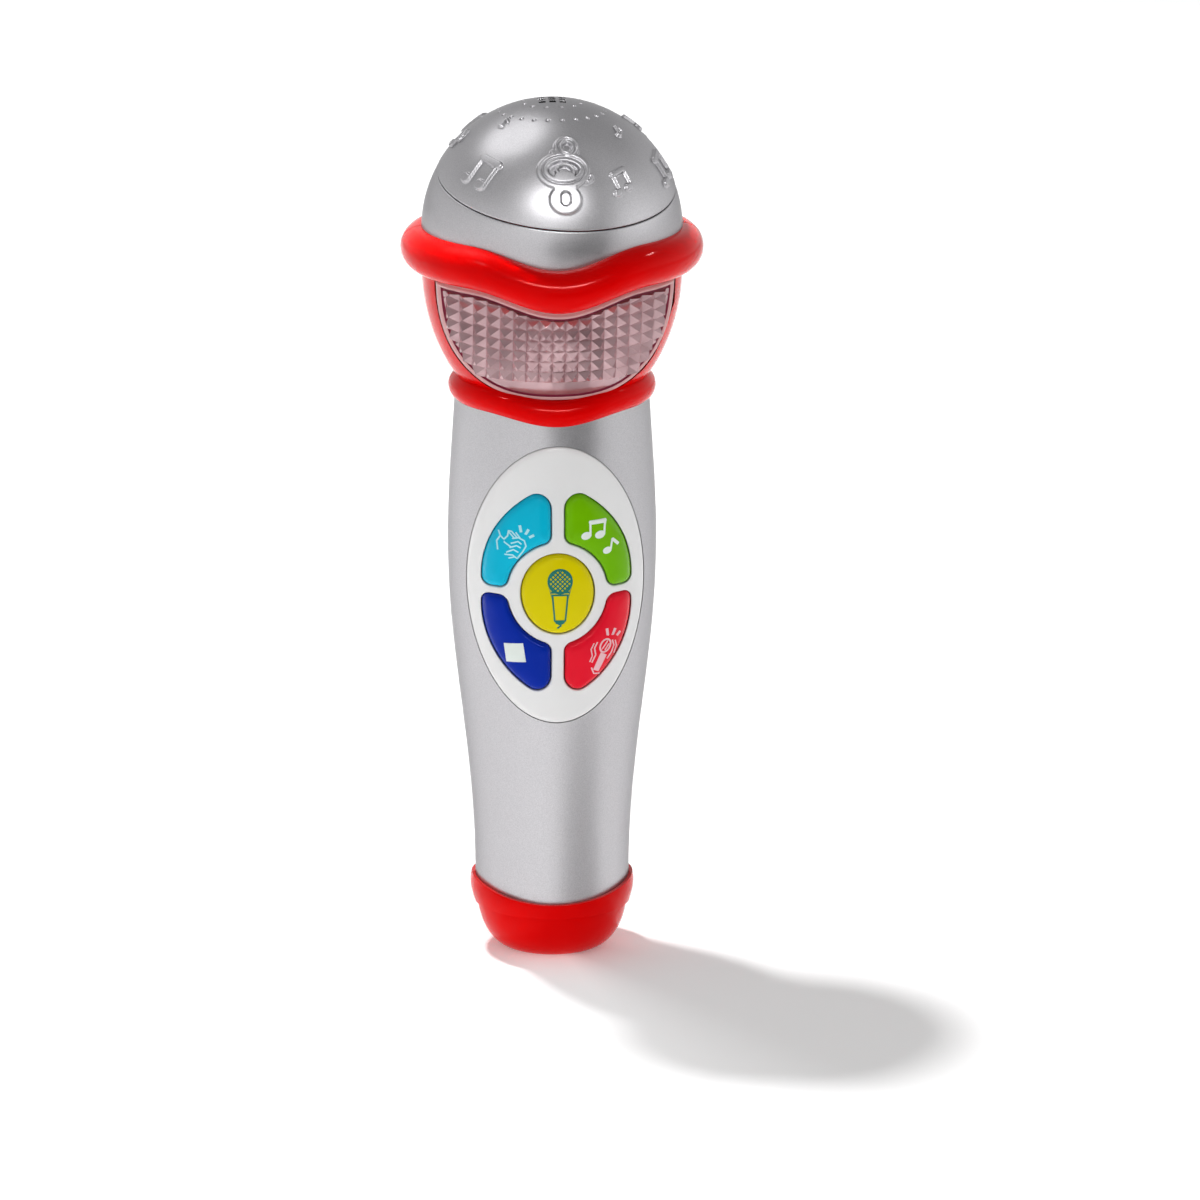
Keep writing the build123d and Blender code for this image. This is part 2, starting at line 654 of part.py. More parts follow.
UPPER_INNER = BOWL_A + 0.2
COLLAR_INNER = 22.65
RING_STEPS = 24
pieces["upper_ring_front"] = dipping_ring(
    RING_R, RING_TUBE, UPPER_INNER, RING_Z, RING_DIP, RING_DIP_HALF
)
pieces["upper_ring_back"] = level_ring(RING_R, RING_TUBE, UPPER_INNER, RING_Z)
pieces["collar_ring_front"] = dipping_ring(
    COLLAR_R, COLLAR_TUBE, COLLAR_INNER, COLLAR_Z, COLLAR_DIP, COLLAR_DIP_HALF
)
pieces["collar_ring_back"] = level_ring(COLLAR_R, COLLAR_TUBE, COLLAR_INNER, COLLAR_Z)

with BuildSketch(Plane.XZ) as neck_profile:
    with BuildLine():
        Polyline(
            (NECK_IN, NECK_BOTTOM), (21.0, NECK_BOTTOM), (21.0, 124.6), (NECK_OUT, 124.6),
            (NECK_OUT, COLLAR_Z + 0.6), (NECK_IN, COLLAR_Z + 0.6), (NECK_IN, NECK_BOTTOM),
        )
    make_face()
with BuildSketch(Plane.XZ) as board_ledge:
    with Locations((18.0, 135.0)):
        Rectangle(3.0, 1.6)

with BuildPart() as head_front:
    revolve(bowl_band(0, BOWL_WALL), axis=Axis.Z)
    split(bisect_by=Plane.XZ, keep=Keep.TOP)
    add(dome_zone.part, mode=Mode.SUBTRACT)
    revolve(neck_profile.sketch, axis=Axis.Z, revolution_arc=-180)
    revolve(board_ledge.sketch, axis=Axis.Z, revolution_arc=-180)
    extrude(window_outline(0), amount=FAR, mode=Mode.SUBTRACT)
    add(bosses_along_y(HEAD_SCREWS, 2.4, -0.05, -7.5))
    extrude(discs_along_y(HEAD_SCREWS, SCREW_HOLE_R, 0), amount=6.8, mode=Mode.SUBTRACT)
pieces["head_front"] = head_front

with BuildPart() as head_back_posts:
    add(bosses_along_y(HEAD_SCREWS, 3.2, 20.0, 0.05))
    with BuildSketch(Plane.XZ):
        with Locations((0, BOWL_Z)):
            Ellipse(BOWL_A - 0.4, BOWL_B - 0.4)
        with Locations((FAR / 2, BOWL_Z)):
            Rectangle(FAR, 4 * FAR, mode=Mode.INTERSECT)
    revolve(axis=Axis.Z, mode=Mode.INTERSECT)
with BuildPart() as head_back:
    revolve(bowl_band(0, BOWL_WALL), axis=Axis.Z, revolution_arc=180)
    add(dome_zone.part, mode=Mode.SUBTRACT)
    revolve(neck_profile.sketch, axis=Axis.Z, revolution_arc=180)
    revolve(board_ledge.sketch, axis=Axis.Z, revolution_arc=180)
    add(head_back_posts.part)
    extrude(discs_along_y(HEAD_SCREWS, SCREW_HOLE_R, FAR), amount=2 * FAR, mode=Mode.SUBTRACT)
    extrude(
        discs_along_y(HEAD_SCREWS, HEAD_R + 0.3, FAR), amount=FAR - HEAD_SCREW_SEAT, mode=Mode.SUBTRACT
    )
pieces["head_back"] = head_back

with BuildPart() as head_screws:
    for x, z in HEAD_SCREWS:
        add(Location((x, HEAD_SCREW_SEAT, z), (-90, 0, 0)) * case_screw)
pieces["head_screws"] = head_screws

# The window clicks in from the inside; its flange stays clear of the screw posts and the ledge.
FLANGE_TOP = 153.0
LENS_BACK = 9.0
with BuildPart() as lens_flange:
    extrude(window_outline(1.2), amount=FAR)
    revolve(bowl_band(-BOWL_WALL - GAP, BOWL_WALL + 1.2), axis=Axis.Z, mode=Mode.INTERSECT)
    with Locations((0, 0, FLANGE_TOP)):
        Box(4 * FAR, 4 * FAR, FAR, align=(Align.CENTER, Align.CENTER, Align.MAX), mode=Mode.INTERSECT)
with BuildPart() as lens:
    extrude(window_outline(-GAP), amount=FAR)
    revolve(bowl_band(0, BOWL_WALL + 0.6), axis=Axis.Z, mode=Mode.INTERSECT)
    add(lens_flange.part)
    with Locations((0, -LENS_BACK, BOWL_Z)):
        Box(2 * FAR, 2 * FAR, 2 * FAR, align=(Align.CENTER, Align.MAX, Align.CENTER), mode=Mode.INTERSECT)
    with Locations((0, 0, COLLAR_Z)):
        Cylinder(NECK_OUT, 7.6, mode=Mode.SUBTRACT)
pieces["lens"] = lens

# ---- dome -----------------------------------------------------------------------------------
LEAN = math.sin(math.radians(JOINT_TILT))
JOINT_NORMAL = (
    LEAN * math.sin(math.radians(JOINT_AZIMUTH)),
    -LEAN * math.cos(math.radians(JOINT_AZIMUTH)),
    math.cos(math.radians(JOINT_TILT)),
)
joint_plane = Plane(origin=(0, 0, JOINT_Z), z_dir=JOINT_NORMAL)
CHAMBER_IN = 13.2
CHAMBER_OUT = 15.0
BRACKET_TOP = SPEAKER_Z - 0.8

with BuildPart() as cap_ribs:
    with Locations((0, 0, SPEAKER_Z + 0.6)):
        Cylinder(CHAMBER_OUT, 20, align=(Align.CENTER, Align.CENTER, Align.MIN))
        Cylinder(
            CHAMBER_IN, 20, align=(Align.CENTER, Align.CENTER, Align.MIN), mode=Mode.SUBTRACT
        )
    with Locations(*[(x, y, BRACKET_TOP + 0.05) for x, y in SPEAKER_SCREWS]):
        Cylinder(2.2, 20, align=(Align.CENTER, Align.CENTER, Align.MIN))
        Cylinder(
            SCREW_HOLE_R, 4.5, align=(Align.CENTER, Align.CENTER, Align.MIN), mode=Mode.SUBTRACT
        )
    with Locations((0, 0, DOME_Z)):
        Sphere(DOME_R - 0.8, mode=Mode.INTERSECT)
with BuildPart() as dome_cap:
    with Locations((0, 0, DOME_Z)):
        Sphere(DOME_R)
        Sphere(DOME_R - DOME_WALL, mode=Mode.SUBTRACT)
    split(bisect_by=joint_plane.offset(JOINT_GAP / 2), keep=Keep.TOP)
    add(cap_ribs.part)
    with Locations((0, 0, HEIGHT)):
        with GridLocations(2.36, 2.36, 3, 3):
            Hole(0.6, 5)
pieces["dome_cap"] = dome_cap

with BuildSketch(Plane.XZ) as tongue_profile:
    with BuildLine():
        Polyline(
            (26.2, 161.7), (27.5, 161.7), (27.5, 166.4), (28.4, 166.9), (28.4, 169.0), (27.2, 170.5),
            (26.2, 166.4), (26.2, 161.7),
        )
    make_face()
with BuildPart() as dome_band:
    with Locations((0, 0, DOME_Z)):
        Sphere(DOME_R)
        Sphere(DOME_R - DOME_WALL, mode=Mode.SUBTRACT)
    split(bisect_by=joint_plane.offset(-JOINT_GAP / 2), keep=Keep.BOTTOM)
    add(dome_zone.part, mode=Mode.INTERSECT)
    revolve(tongue_profile.sketch, axis=Axis.Z)
pieces["dome_band"] = dome_band

# ---- speaker --------------------------------------------------------------------------------
with BuildSketch(Plane.XZ) as basket_profile:
    with BuildLine():
        Polyline(
            (12.4, SPEAKER_Z), (SPEAKER_R, SPEAKER_Z), (SPEAKER_R, SPEAKER_Z - 0.8),
            (12.5, SPEAKER_Z - 0.8), (8.6, SPEAKER_Z - 5.6), (0, SPEAKER_Z - 5.6), (0, SPEAKER_Z - 5.0),
            (8.0, SPEAKER_Z - 5.0), (12.4, SPEAKER_Z),
        )
    make_face()
with BuildPart() as speaker_basket:
    revolve(basket_profile.sketch, axis=Axis.Z)
    with BuildSketch(Plane.XY.offset(SPEAKER_Z - 5.6)):
        with Locations((0, 9.6)):
            Rectangle(8, 4.0)
    extrude(amount=0.8)
pieces["speaker_basket"] = speaker_basket

with BuildPart() as speaker_magnet:
    with Locations((0, 0, SPEAKER_Z - 5.6)):
        Cylinder(7.4, 3.6, align=(Align.CENTER, Align.CENTER, Align.MAX))
    chamfer(speaker_magnet.edges().group_by(Axis.Z)[0], 0.6)
pieces["speaker_magnet"] = speaker_magnet

with BuildSketch(Plane.XZ) as cone_profile:
    with BuildLine():
        Polyline(
            (0, SPEAKER_Z - 2.2), (2.4, SPEAKER_Z - 2.5), (4.0, SPEAKER_Z - 3.0), (11.0, SPEAKER_Z + 0.3)
        )
        roll = ThreePointArc((11.0, SPEAKER_Z + 0.3), (12.1, SPEAKER_Z + 0.9), (13.2, SPEAKER_Z + 0.3))
        Polyline(
            roll @ 1, (13.2, SPEAKER_Z), (12.4, SPEAKER_Z + 0.1), (11.2, SPEAKER_Z), (4.0, SPEAKER_Z - 3.6),
            (0, SPEAKER_Z - 2.8), (0, SPEAKER_Z - 2.2),
        )
    make_face()
with BuildPart() as speaker_cone:
    revolve(cone_profile.sketch, axis=Axis.Z)
pieces["speaker_cone"] = speaker_cone

with BuildPart() as speaker_gasket:
    with BuildSketch(Plane.XY.offset(SPEAKER_Z)):
        Circle(SPEAKER_R)
        Circle(13.4, mode=Mode.SUBTRACT)
    extrude(amount=0.6)
pieces["speaker_gasket"] = speaker_gasket

with BuildPart() as speaker_bracket:
    with BuildSketch(Plane.XY.offset(BRACKET_TOP - 1.4)):
        Circle(15.8)
        with Locations(*SPEAKER_SCREWS):
            Circle(3.3)
        Circle(13.0, mode=Mode.SUBTRACT)
        with Locations(*SPEAKER_SCREWS):
            Circle(SCREW_HOLE_R, mode=Mode.SUBTRACT)
    extrude(amount=1.4)
pieces["speaker_bracket"] = speaker_bracket

speaker_screw = pan_screw(SCREW_R, 5.5, HEAD_R, 1.2)
with BuildPart() as speaker_screws:
    for x, y in SPEAKER_SCREWS:
        add(Location((x, y, BRACKET_TOP - 1.4), (180, 0, 0)) * speaker_screw)
pieces["speaker_screws"] = speaker_screws

# ---- lamp board -----------------------------------------------------------------------------
LAMP_Z = 136.0
with BuildPart() as lamp_board:
    with BuildSketch(Plane.XY.offset(LAMP_Z)):
        Circle(18.2)
        with Locations((0, 16)):
            RectangleRounded(13, 12, 1.5, mode=Mode.SUBTRACT)
    extrude(amount=1.2)
pieces["lamp_board"] = lamp_board

with BuildSketch(Plane.XZ) as lamp_profile:
    with BuildLine():
        Polyline((1.5, 4.2), (1.5, 1.0), (1.9, 1.0), (1.9, 0), (0, 0), (0, 5.7))
        CenterArc((0, 4.2), 1.5, 0, 90)
    make_face()
with BuildPart() as one_lamp:
    revolve(lamp_profile.sketch, axis=Axis.Z)
with BuildPart() as lamps:
    for angle in (-150, -110, -70, -30):
        x, y = 12.0 * math.cos(math.radians(angle)), 12.0 * math.sin(math.radians(angle))
        add(Location((x, y, LAMP_Z + 1.2)) * one_lamp.part)
pieces["lamps"] = lamps


# ---- wires ----------------------------------------------------------------------------------
def wire(points, radii, radius=0.55):
    """A round wire of straight runs and arcs."""
    with BuildPart() as one:
        with BuildLine():
            route = FilletPolyline(*points, radius=radii)
        with BuildSketch(Plane(origin=route @ 0, z_dir=route % 0)):
            Circle(radius)
        sweep()
    return one.part


SOLDER_Y = BOARD_BACK + 0.4  # where wires end at the board

with BuildPart() as speaker_wires:
    for x in (-2.0, 2.0):
        add(wire(
            [(x, SOLDER_Y, 115), (x, -4, 116), (x, 12, 127), (x, 12.4, 150), (x, 11.2, 181.4)],
            [2.5, 6.0, 20.0],
        ))
pieces["speaker_wires"] = speaker_wires

with BuildPart() as lamp_wires:
    for x in (8.6, 10.2):
        add(wire([(x, SOLDER_Y, 115), (x, -5, 117), (x, -4, LAMP_Z - 0.2)], [3.0]))
pieces["lamp_wires"] = lamp_wires

with BuildPart() as battery_wires:
    for x in (-WIRE_X, WIRE_X):
        add(wire([(x, WIRE_Y, POCKET_HIGH), (x, WIRE_Y, 84), (x, SOLDER_Y, 87)], [4.5]))
pieces["battery_wires"] = battery_wires

with BuildPart() as switch_wires:
    for z in (-3, 0):
        add(wire(
            [(0, 10.0, SWITCH_Z + z), (0, 2.0, SWITCH_Z + z), (4.5, SOLDER_Y, SWITCH_Z + z + 2)], [4.0]
        ))
pieces["switch_wires"] = switch_wires

for name, builder in pieces.items():
    builder.part.label = name
    export_step(builder.part, f"parts/{name}.step")
    print(name, len(builder.part.solids()), builder.part.is_valid, round(builder.part.volume, 1))
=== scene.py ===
import json
import math

import bmesh
import bpy
import numpy as np
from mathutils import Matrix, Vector
from mathutils.geometry import delaunay_2d_cdt

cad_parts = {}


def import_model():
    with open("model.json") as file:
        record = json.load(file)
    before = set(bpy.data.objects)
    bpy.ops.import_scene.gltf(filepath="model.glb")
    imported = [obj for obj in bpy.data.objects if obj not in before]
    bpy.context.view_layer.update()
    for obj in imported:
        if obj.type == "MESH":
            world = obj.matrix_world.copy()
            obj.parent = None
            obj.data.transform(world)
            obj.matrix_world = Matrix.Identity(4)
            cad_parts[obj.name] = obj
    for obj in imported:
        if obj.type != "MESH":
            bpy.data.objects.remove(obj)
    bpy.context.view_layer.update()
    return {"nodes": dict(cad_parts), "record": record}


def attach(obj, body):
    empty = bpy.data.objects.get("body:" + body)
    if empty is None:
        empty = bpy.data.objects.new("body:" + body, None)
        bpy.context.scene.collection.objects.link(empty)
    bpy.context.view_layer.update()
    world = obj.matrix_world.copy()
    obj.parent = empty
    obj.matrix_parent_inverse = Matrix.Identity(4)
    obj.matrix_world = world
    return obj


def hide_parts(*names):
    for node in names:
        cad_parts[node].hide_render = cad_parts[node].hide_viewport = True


# The looks of a toy microphone: silver handle and dome, red head casing with a clear window,
# and an oval panel of five printed push buttons. Shapes are worked out in millimetres and
# become metres when a mesh is made. +Z is up, and the buttons face -Y.
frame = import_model()
nodes = frame["nodes"]
MM = 0.001

# ---- sizes shared with the frame ------------------------------------------------------------
HANDLE_SIDE = [
    (17.8, 11.0), (17.8, 18.0), (18.4, 34.0), (20.75, 57.0), (23.3, 80.0), (24.0, 99.0),
    (22.95, 122.0), (22.3, 132.0),
]
DOME_R = 29.8
DOME_Z = 170.2
JOINT_Z = 182.8
JOINT_TILT = math.radians(14.0)
JOINT_AZIMUTH = math.radians(16.5)
BOWL_A = 29.8
BOWL_B = 37.5
BOWL_Z = 161.7
UPPER_RING = {"radius": 29.7, "tube": 4.9, "level": 166.2, "depth": 4.4, "half": 20.0}
COLLAR_RING = {"radius": 20.5, "tube": 3.3, "level": 133.9, "depth": 2.4, "half": 16.0}
WINDOW_SIDE = [(0.0, 134.5), (15.6, 137.2), (22.9, 143.9), (26.6, 153.5), (27.4, 164.0)]
PANEL_Z = 91.65
PANEL_A = 20.25
PANEL_B = 32.7
PANEL_PROUD = 0.4
BUTTON_Z = 90.2
CENTRE_A = 8.3
CENTRE_B = 9.4
BUTTON_GAP = 0.2  # between a button's skin and its hole in the panel


# ---- curves ---------------------------------------------------------------------------------
def natural_spline(points, count):
    """Points along a smooth curve through these points, evenly spaced by parameter."""
    points = np.array(points, float)
    t = np.concatenate([[0], np.cumsum(np.linalg.norm(np.diff(points, axis=0), axis=1))])
    n = len(t)
    h = np.diff(t)
    system = np.eye(n)
    slopes = np.zeros_like(points)
    for i in range(1, n - 1):
        system[i, i - 1 : i + 2] = h[i - 1], 2 * (h[i - 1] + h[i]), h[i]
        rise = (points[i + 1] - points[i]) / h[i] - (points[i] - points[i - 1]) / h[i - 1]
        slopes[i] = 6 * rise
    bend = np.linalg.solve(system, slopes)
    s = np.linspace(0, t[-1], count)
    k = np.clip(np.searchsorted(t, s, side="right") - 1, 0, n - 2)
    a = ((t[k + 1] - s) / h[k])[:, None]
    b = ((s - t[k]) / h[k])[:, None]
    width = (h[k] ** 2)[:, None] / 6
    return a * points[k] + b * points[k + 1] + width * ((a**3 - a) * bend[k] + (b**3 - b) * bend[k + 1])


HANDLE_CURVE = natural_spline(HANDLE_SIDE, 400)


def handle_y(x, z):
    """y of the handle's front surface at a front-view point."""
    radius = np.interp(z, HANDLE_CURVE[:, 1], HANDLE_CURVE[:, 0])
    return -np.sqrt(np.maximum(radius**2 - np.asarray(x) ** 2, 1.0))


def arc_through(start, middle, end, count=40):
    """Points along the circular arc through three points."""
    a, b, c = (complex(*p) for p in (start, middle, end))
    w = (c - a) / (b - a)
    centre = a + (b - a) * (w - abs(w) ** 2) / (2j * w.imag)
    radius = abs(a - centre)
    first = math.atan2((a - centre).imag, (a - centre).real)
    sweep = math.atan2(((c - centre) / (a - centre)).imag, ((c - centre) / (a - centre)).real)
    mid = math.atan2(((b - centre) / (a - centre)).imag, ((b - centre) / (a - centre)).real)
    if sweep * mid < 0:
        sweep += math.copysign(2 * math.pi, mid)
    angles = first + sweep * np.linspace(0, 1, count)
    return np.column_stack([centre.real + radius * np.cos(angles), centre.imag + radius * np.sin(angles)])


def along(points, distance):
    """The point and the direction at this distance along a polyline."""
    steps = np.linalg.norm(np.diff(points, axis=0), axis=1)
    at = np.concatenate([[0], np.cumsum(steps)])
    place = np.array([np.interp(distance, at, points[:, i]) for i in range(2)])
    k = min(int(np.searchsorted(at, distance, side="right")) - 1, len(steps) - 1)
    return place, (points[k + 1] - points[k]) / steps[k]


def rounded_loop(sides, radii):
    """A closed loop of these sides, with the corner before each side rounded."""
    trims = []
    for i, side in enumerate(sides):
        before = sides[i - 1]
        d_in = along(before, 1e9)[1]
        d_out = along(side, 0)[1]
        turn = math.acos(float(np.clip(d_in @ d_out, -1, 1)))
        trims.append(radii[i] * math.tan(turn / 2))
    loop = []
    for i, side in enumerate(sides):
        before = sides[i - 1]
        length_before = np.linalg.norm(np.diff(before, axis=0), axis=1).sum()
        length = np.linalg.norm(np.diff(side, axis=0), axis=1).sum()
        p, p_dir = along(before, length_before - trims[i])
        q, q_dir = along(side, trims[i])
        turn = math.acos(float(np.clip(p_dir @ q_dir, -1, 1)))
        reach = np.linalg.norm(q - p) / (2 * math.cos(turn / 2)) * 4 / 3 * math.tan(turn / 4)
        reach /= max(math.tan(turn / 2), 1e-6)
        for t in np.linspace(0, 1, 10):
            loop.append(
                (1 - t) ** 3 * p + 3 * (1 - t) ** 2 * t * (p + reach * p_dir)
                + 3 * (1 - t) * t**2 * (q - reach * q_dir) + t**3 * q
            )
        end = length - trims[(i + 1) % len(sides)]
        for s in np.linspace(trims[i], end, 24)[1:-1]:
            loop.append(along(side, s)[0])
    return even_loop(np.array(loop), 0.35)


def even_loop(loop, step):
    """A closed loop with its points spaced evenly and in anticlockwise order."""
    closed = np.vstack([loop, loop[:1]])
    at = np.concatenate([[0], np.cumsum(np.linalg.norm(np.diff(closed, axis=0), axis=1))])
    count = max(int(at[-1] / step), 12)
    s = np.linspace(0, at[-1], count, endpoint=False)
    even = np.column_stack([np.interp(s, at, closed[:, i]) for i in range(2)])
    x, z = even[:, 0], even[:, 1]
    area = np.sum(x * np.roll(z, -1) - np.roll(x, -1) * z)
    return even if area > 0 else even[::-1]


def moved_loop(loop, amount):
    """The loop moved outward by amount, or inward if it is negative."""
    ahead = np.roll(loop, -1, axis=0) - np.roll(loop, 1, axis=0)
    ahead /= np.linalg.norm(ahead, axis=1)[:, None]
    return loop + amount * np.column_stack([ahead[:, 1], -ahead[:, 0]])


def ellipse_loop(centre, a, b, step=0.4):
    angles = np.linspace(0, 2 * math.pi, 400, endpoint=False)
    points = np.column_stack([centre[0] + a * np.cos(angles), centre[1] + b * np.sin(angles)])
    return even_loop(points, step)


def quarter_loop(side, level):
    """A quarter button's outline; side and level are -1 or +1."""
    tip, outer_end = (1.6, 25.0), (16.9, 1.0)
    inner_start, inner_end = (11.5, 1.0), (1.6, 12.1)
    sides = [
        np.array([inner_end, tip]),
        arc_through(tip, (12.9, 16.4), outer_end),
        np.array([outer_end, inner_start]),
        arc_through(inner_start, (8.4, 8.3), inner_end),
    ]
    loop = rounded_loop(sides, [2.0, 3.6, 2.0, 2.0])
    return even_loop(loop * (side, level) + (0, BUTTON_Z), 0.35)


# ---- flat layouts turned into surfaces --------------------------------------------------------
def inside_loop(points, loop):
    """Which points are inside a closed loop."""
    x, z = points[:, 0][:, None], points[:, 1][:, None]
    x0, z0 = loop[:, 0][None], loop[:, 1][None]
    x1, z1 = np.roll(loop[:, 0], -1)[None], np.roll(loop[:, 1], -1)[None]
    crosses = (z0 > z) != (z1 > z)
    at = x0 + (z - z0) * (x1 - x0) / np.where(z1 == z0, 1e-9, z1 - z0)
    return (np.sum(crosses & (x < at), axis=1) % 2).astype(bool)


def distance_to_path(points, path, closed=False):
    """Each point's distance from a polyline or loop."""
    start = path if closed else path[:-1]
    end = np.roll(path, -1, axis=0) if closed else path[1:]
    nearest = np.full(len(points), 1e9)
    for a, b in zip(start, end):
        step = b - a
        t = np.clip(((points - a) @ step) / max(step @ step, 1e-12), 0, 1)
        nearest = np.minimum(nearest, np.linalg.norm(points - a - t[:, None] * step, axis=1))
    return nearest


def layout(loops, grid, keep, edges=()):
    """Triangles of a flat layout whose edges follow the loops. keep says which triangles stay."""
    points, links = [], []
    for loop in loops:
        first = len(points)
        points.extend(map(tuple, loop))
        links.extend((first + i, first + (i + 1) % len(loop)) for i in range(len(loop)))
    for a, b in edges:
        links.append((len(points), len(points) + 1))
        points.extend([tuple(a), tuple(b)])
    points.extend(map(tuple, grid))
    flat, _, faces, _, _, _ = delaunay_2d_cdt([Vector(p) for p in points], links, [], 0, 1e-5)
    flat = np.array([tuple(p) for p in flat])
    faces = np.array([f for f in faces if len(f) == 3])
    faces = faces[keep(flat[faces].mean(axis=1))]
    used = np.unique(faces)
    index = np.full(len(flat), -1)
    index[used] = np.arange(len(used))
    return flat[used], index[faces]


def grid_points(loop, step):
    """Points of a staggered grid over a loop's box."""
    low, high = loop.min(axis=0), loop.max(axis=0)
    rows = np.arange(low[1], high[1], step * 0.87)
    return np.array([
        (x, z) for i, z in enumerate(rows) for x in np.arange(low[0] + (i % 2) * step / 2, high[0], step)
    ])


def new_object(name, points, faces, material, smooth=True):
    """A mesh object from points in millimetres."""
    mesh = bpy.data.meshes.new(name)
    mesh.from_pydata([tuple(p) for p in np.asarray(points) * MM], [], [tuple(map(int, f)) for f in faces])
    mesh.materials.append(material)
    mesh.polygons.foreach_set("use_smooth", [smooth] * len(mesh.polygons))
    mesh.update()
    piece = bpy.data.objects.new(name, mesh)
    bpy.context.scene.collection.objects.link(piece)
    return piece


def add_wall(piece, depth):
    """Extrudes the piece's open edges back along +Y by depth, so that it has sides."""
    bm = bmesh.new()
    bm.from_mesh(piece.data)
    rim = [e for e in bm.edges if e.is_boundary]
    wall = bmesh.ops.extrude_edge_only(bm, edges=rim)
    for v in wall["geom"]:
        if isinstance(v, bmesh.types.BMVert):
            v.co += Vector((0, depth * MM, 0))
    for f in bm.faces:
        f.smooth = True
    bm.to_mesh(piece.data)
    bm.free()


def rounded_drop(distance, width, depth=None):
    """How far an edge rounded over this width lies below the surface, at a distance from it."""
    share = 1 - np.clip(distance / width, 0, 1)
    return (width if depth is None else depth) * (1 - np.sqrt(1 - share**2))


def plate(name, outline, holes, height, rounding, depth, material, step=0.9):
    """A skin over the handle, height above it, with side walls.

    The rounding is (width, depth) at the outline; holes have a small one.
    """
    edges = [(outline, -1, *rounding)] + [(hole, 1, 0.4, 0.4) for hole in holes]
    loops = []
    for loop, sign, width, _ in edges:
        for angle in np.linspace(0, math.pi / 2, 7):
            inset = width * (1 - math.cos(angle))
            loops.append(moved_loop(loop, sign * inset))
    grid = grid_points(outline, step)
    clear = np.min([distance_to_path(grid, loop, True) - width for loop, _, width, _ in edges], axis=0)
    grid = grid[clear > step * 0.45]

    def keep(centres):
        inside = inside_loop(centres, outline)
        for hole in holes:
            inside &= ~inside_loop(centres, hole)
        return inside

    flat, faces = layout(loops, grid[keep(grid)], keep)
    drop = np.max([rounded_drop(distance_to_path(flat, loop, True), w, d) for loop, _, w, d in edges], axis=0)
    y = handle_y(flat[:, 0], flat[:, 1]) - height(flat) + drop
    piece = new_object(name, np.column_stack([flat[:, 0], y, flat[:, 1]]), faces, material)
    add_wall(piece, depth)
    return piece


# ---- materials --------------------------------------------------------------------------------
def new_material(name, **settings):
    """A Principled material with these sockets set, and its shader."""
    material = bpy.data.materials.new(name)
    material.use_nodes = True
    shader = material.node_tree.nodes["Principled BSDF"]
    for socket, value in settings.items():
        shader.inputs[socket.replace("_", " ")].default_value = value
    return material, shader


def add_noise(material, scale, detail=2.0, roughness=0.5):
    """Noise in the part's own space, with features of about 1 / scale metres."""
    tree = material.node_tree
    space = tree.nodes.new("ShaderNodeTexCoord")
    noise = tree.nodes.new("ShaderNodeTexNoise")
    noise.inputs["Scale"].default_value = scale
    noise.inputs["Detail"].default_value = detail
    noise.inputs["Roughness"].default_value = roughness
    tree.links.new(space.outputs["Object"], noise.inputs["Vector"])
    return noise.outputs["Fac"]


def vary_colour(material, shader, source, dark, light):
    """The base colour runs from dark to light with the source."""
    ramp = material.node_tree.nodes.new("ShaderNodeValToRGB")
    ramp.color_ramp.elements[0].position = 0.35
    ramp.color_ramp.elements[1].position = 0.65
    ramp.color_ramp.elements[0].color = (*dark, 1)
    ramp.color_ramp.elements[1].color = (*light, 1)
    material.node_tree.links.new(source, ramp.inputs["Fac"])
    material.node_tree.links.new(ramp.outputs["Color"], shader.inputs["Base Color"])


def vary_roughness(material, shader, source, low, high):
    """The roughness runs from low to high with the source."""
    span = material.node_tree.nodes.new("ShaderNodeMapRange")
    span.inputs["From Min"].default_value = 0.3
    span.inputs["From Max"].default_value = 0.7
    span.inputs["To Min"].default_value = low
    span.inputs["To Max"].default_value = high
    material.node_tree.links.new(source, span.inputs["Value"])
    material.node_tree.links.new(span.outputs["Result"], shader.inputs["Roughness"])


def add_bump(material, shader, source, strength, height):
    bump = material.node_tree.nodes.new("ShaderNodeBump")
    bump.inputs["Strength"].default_value = strength
    bump.inputs["Distance"].default_value = height
    material.node_tree.links.new(source, bump.inputs["Height"])
    material.node_tree.links.new(bump.outputs["Normal"], shader.inputs["Normal"])


def silver_paint():
    """Fine metallic flakes under a satin clear coat."""
    material, shader = new_material(
        "silver_paint", Metallic=0.95, Coat_Weight=0.05, Coat_Roughness=0.3, Specular_Tint=(0.5, 0.5, 0.5, 1)
    )
    flakes = add_noise(material, 4200.0, 3.0)
    vary_colour(material, shader, flakes, (0.46, 0.453, 0.47), (0.55, 0.542, 0.56))
    vary_roughness(material, shader, add_noise(material, 900.0), 0.33, 0.36)
    add_bump(material, shader, flakes, 0.06, 0.00001)
    return material


def glossy(name, colour, roughness=0.12, gloss=0.2, spread=0.05):
    """Glossy moulded plastic: a slight orange peel and faint changes of tone."""
    tint = tuple(0.3 + 0.7 * c / max(colour) for c in colour)
    material, shader = new_material(name, Specular_IOR_Level=gloss, Specular_Tint=(*tint, 1))
    dark = tuple(c * (1 - spread) for c in colour)
    vary_colour(material, shader, add_noise(material, 90.0), dark, colour)
    vary_roughness(material, shader, add_noise(material, 420.0), roughness - 0.03, roughness + 0.03)
    add_bump(material, shader, add_noise(material, 400.0, 0.0), 0.03, 0.00003)
    return material


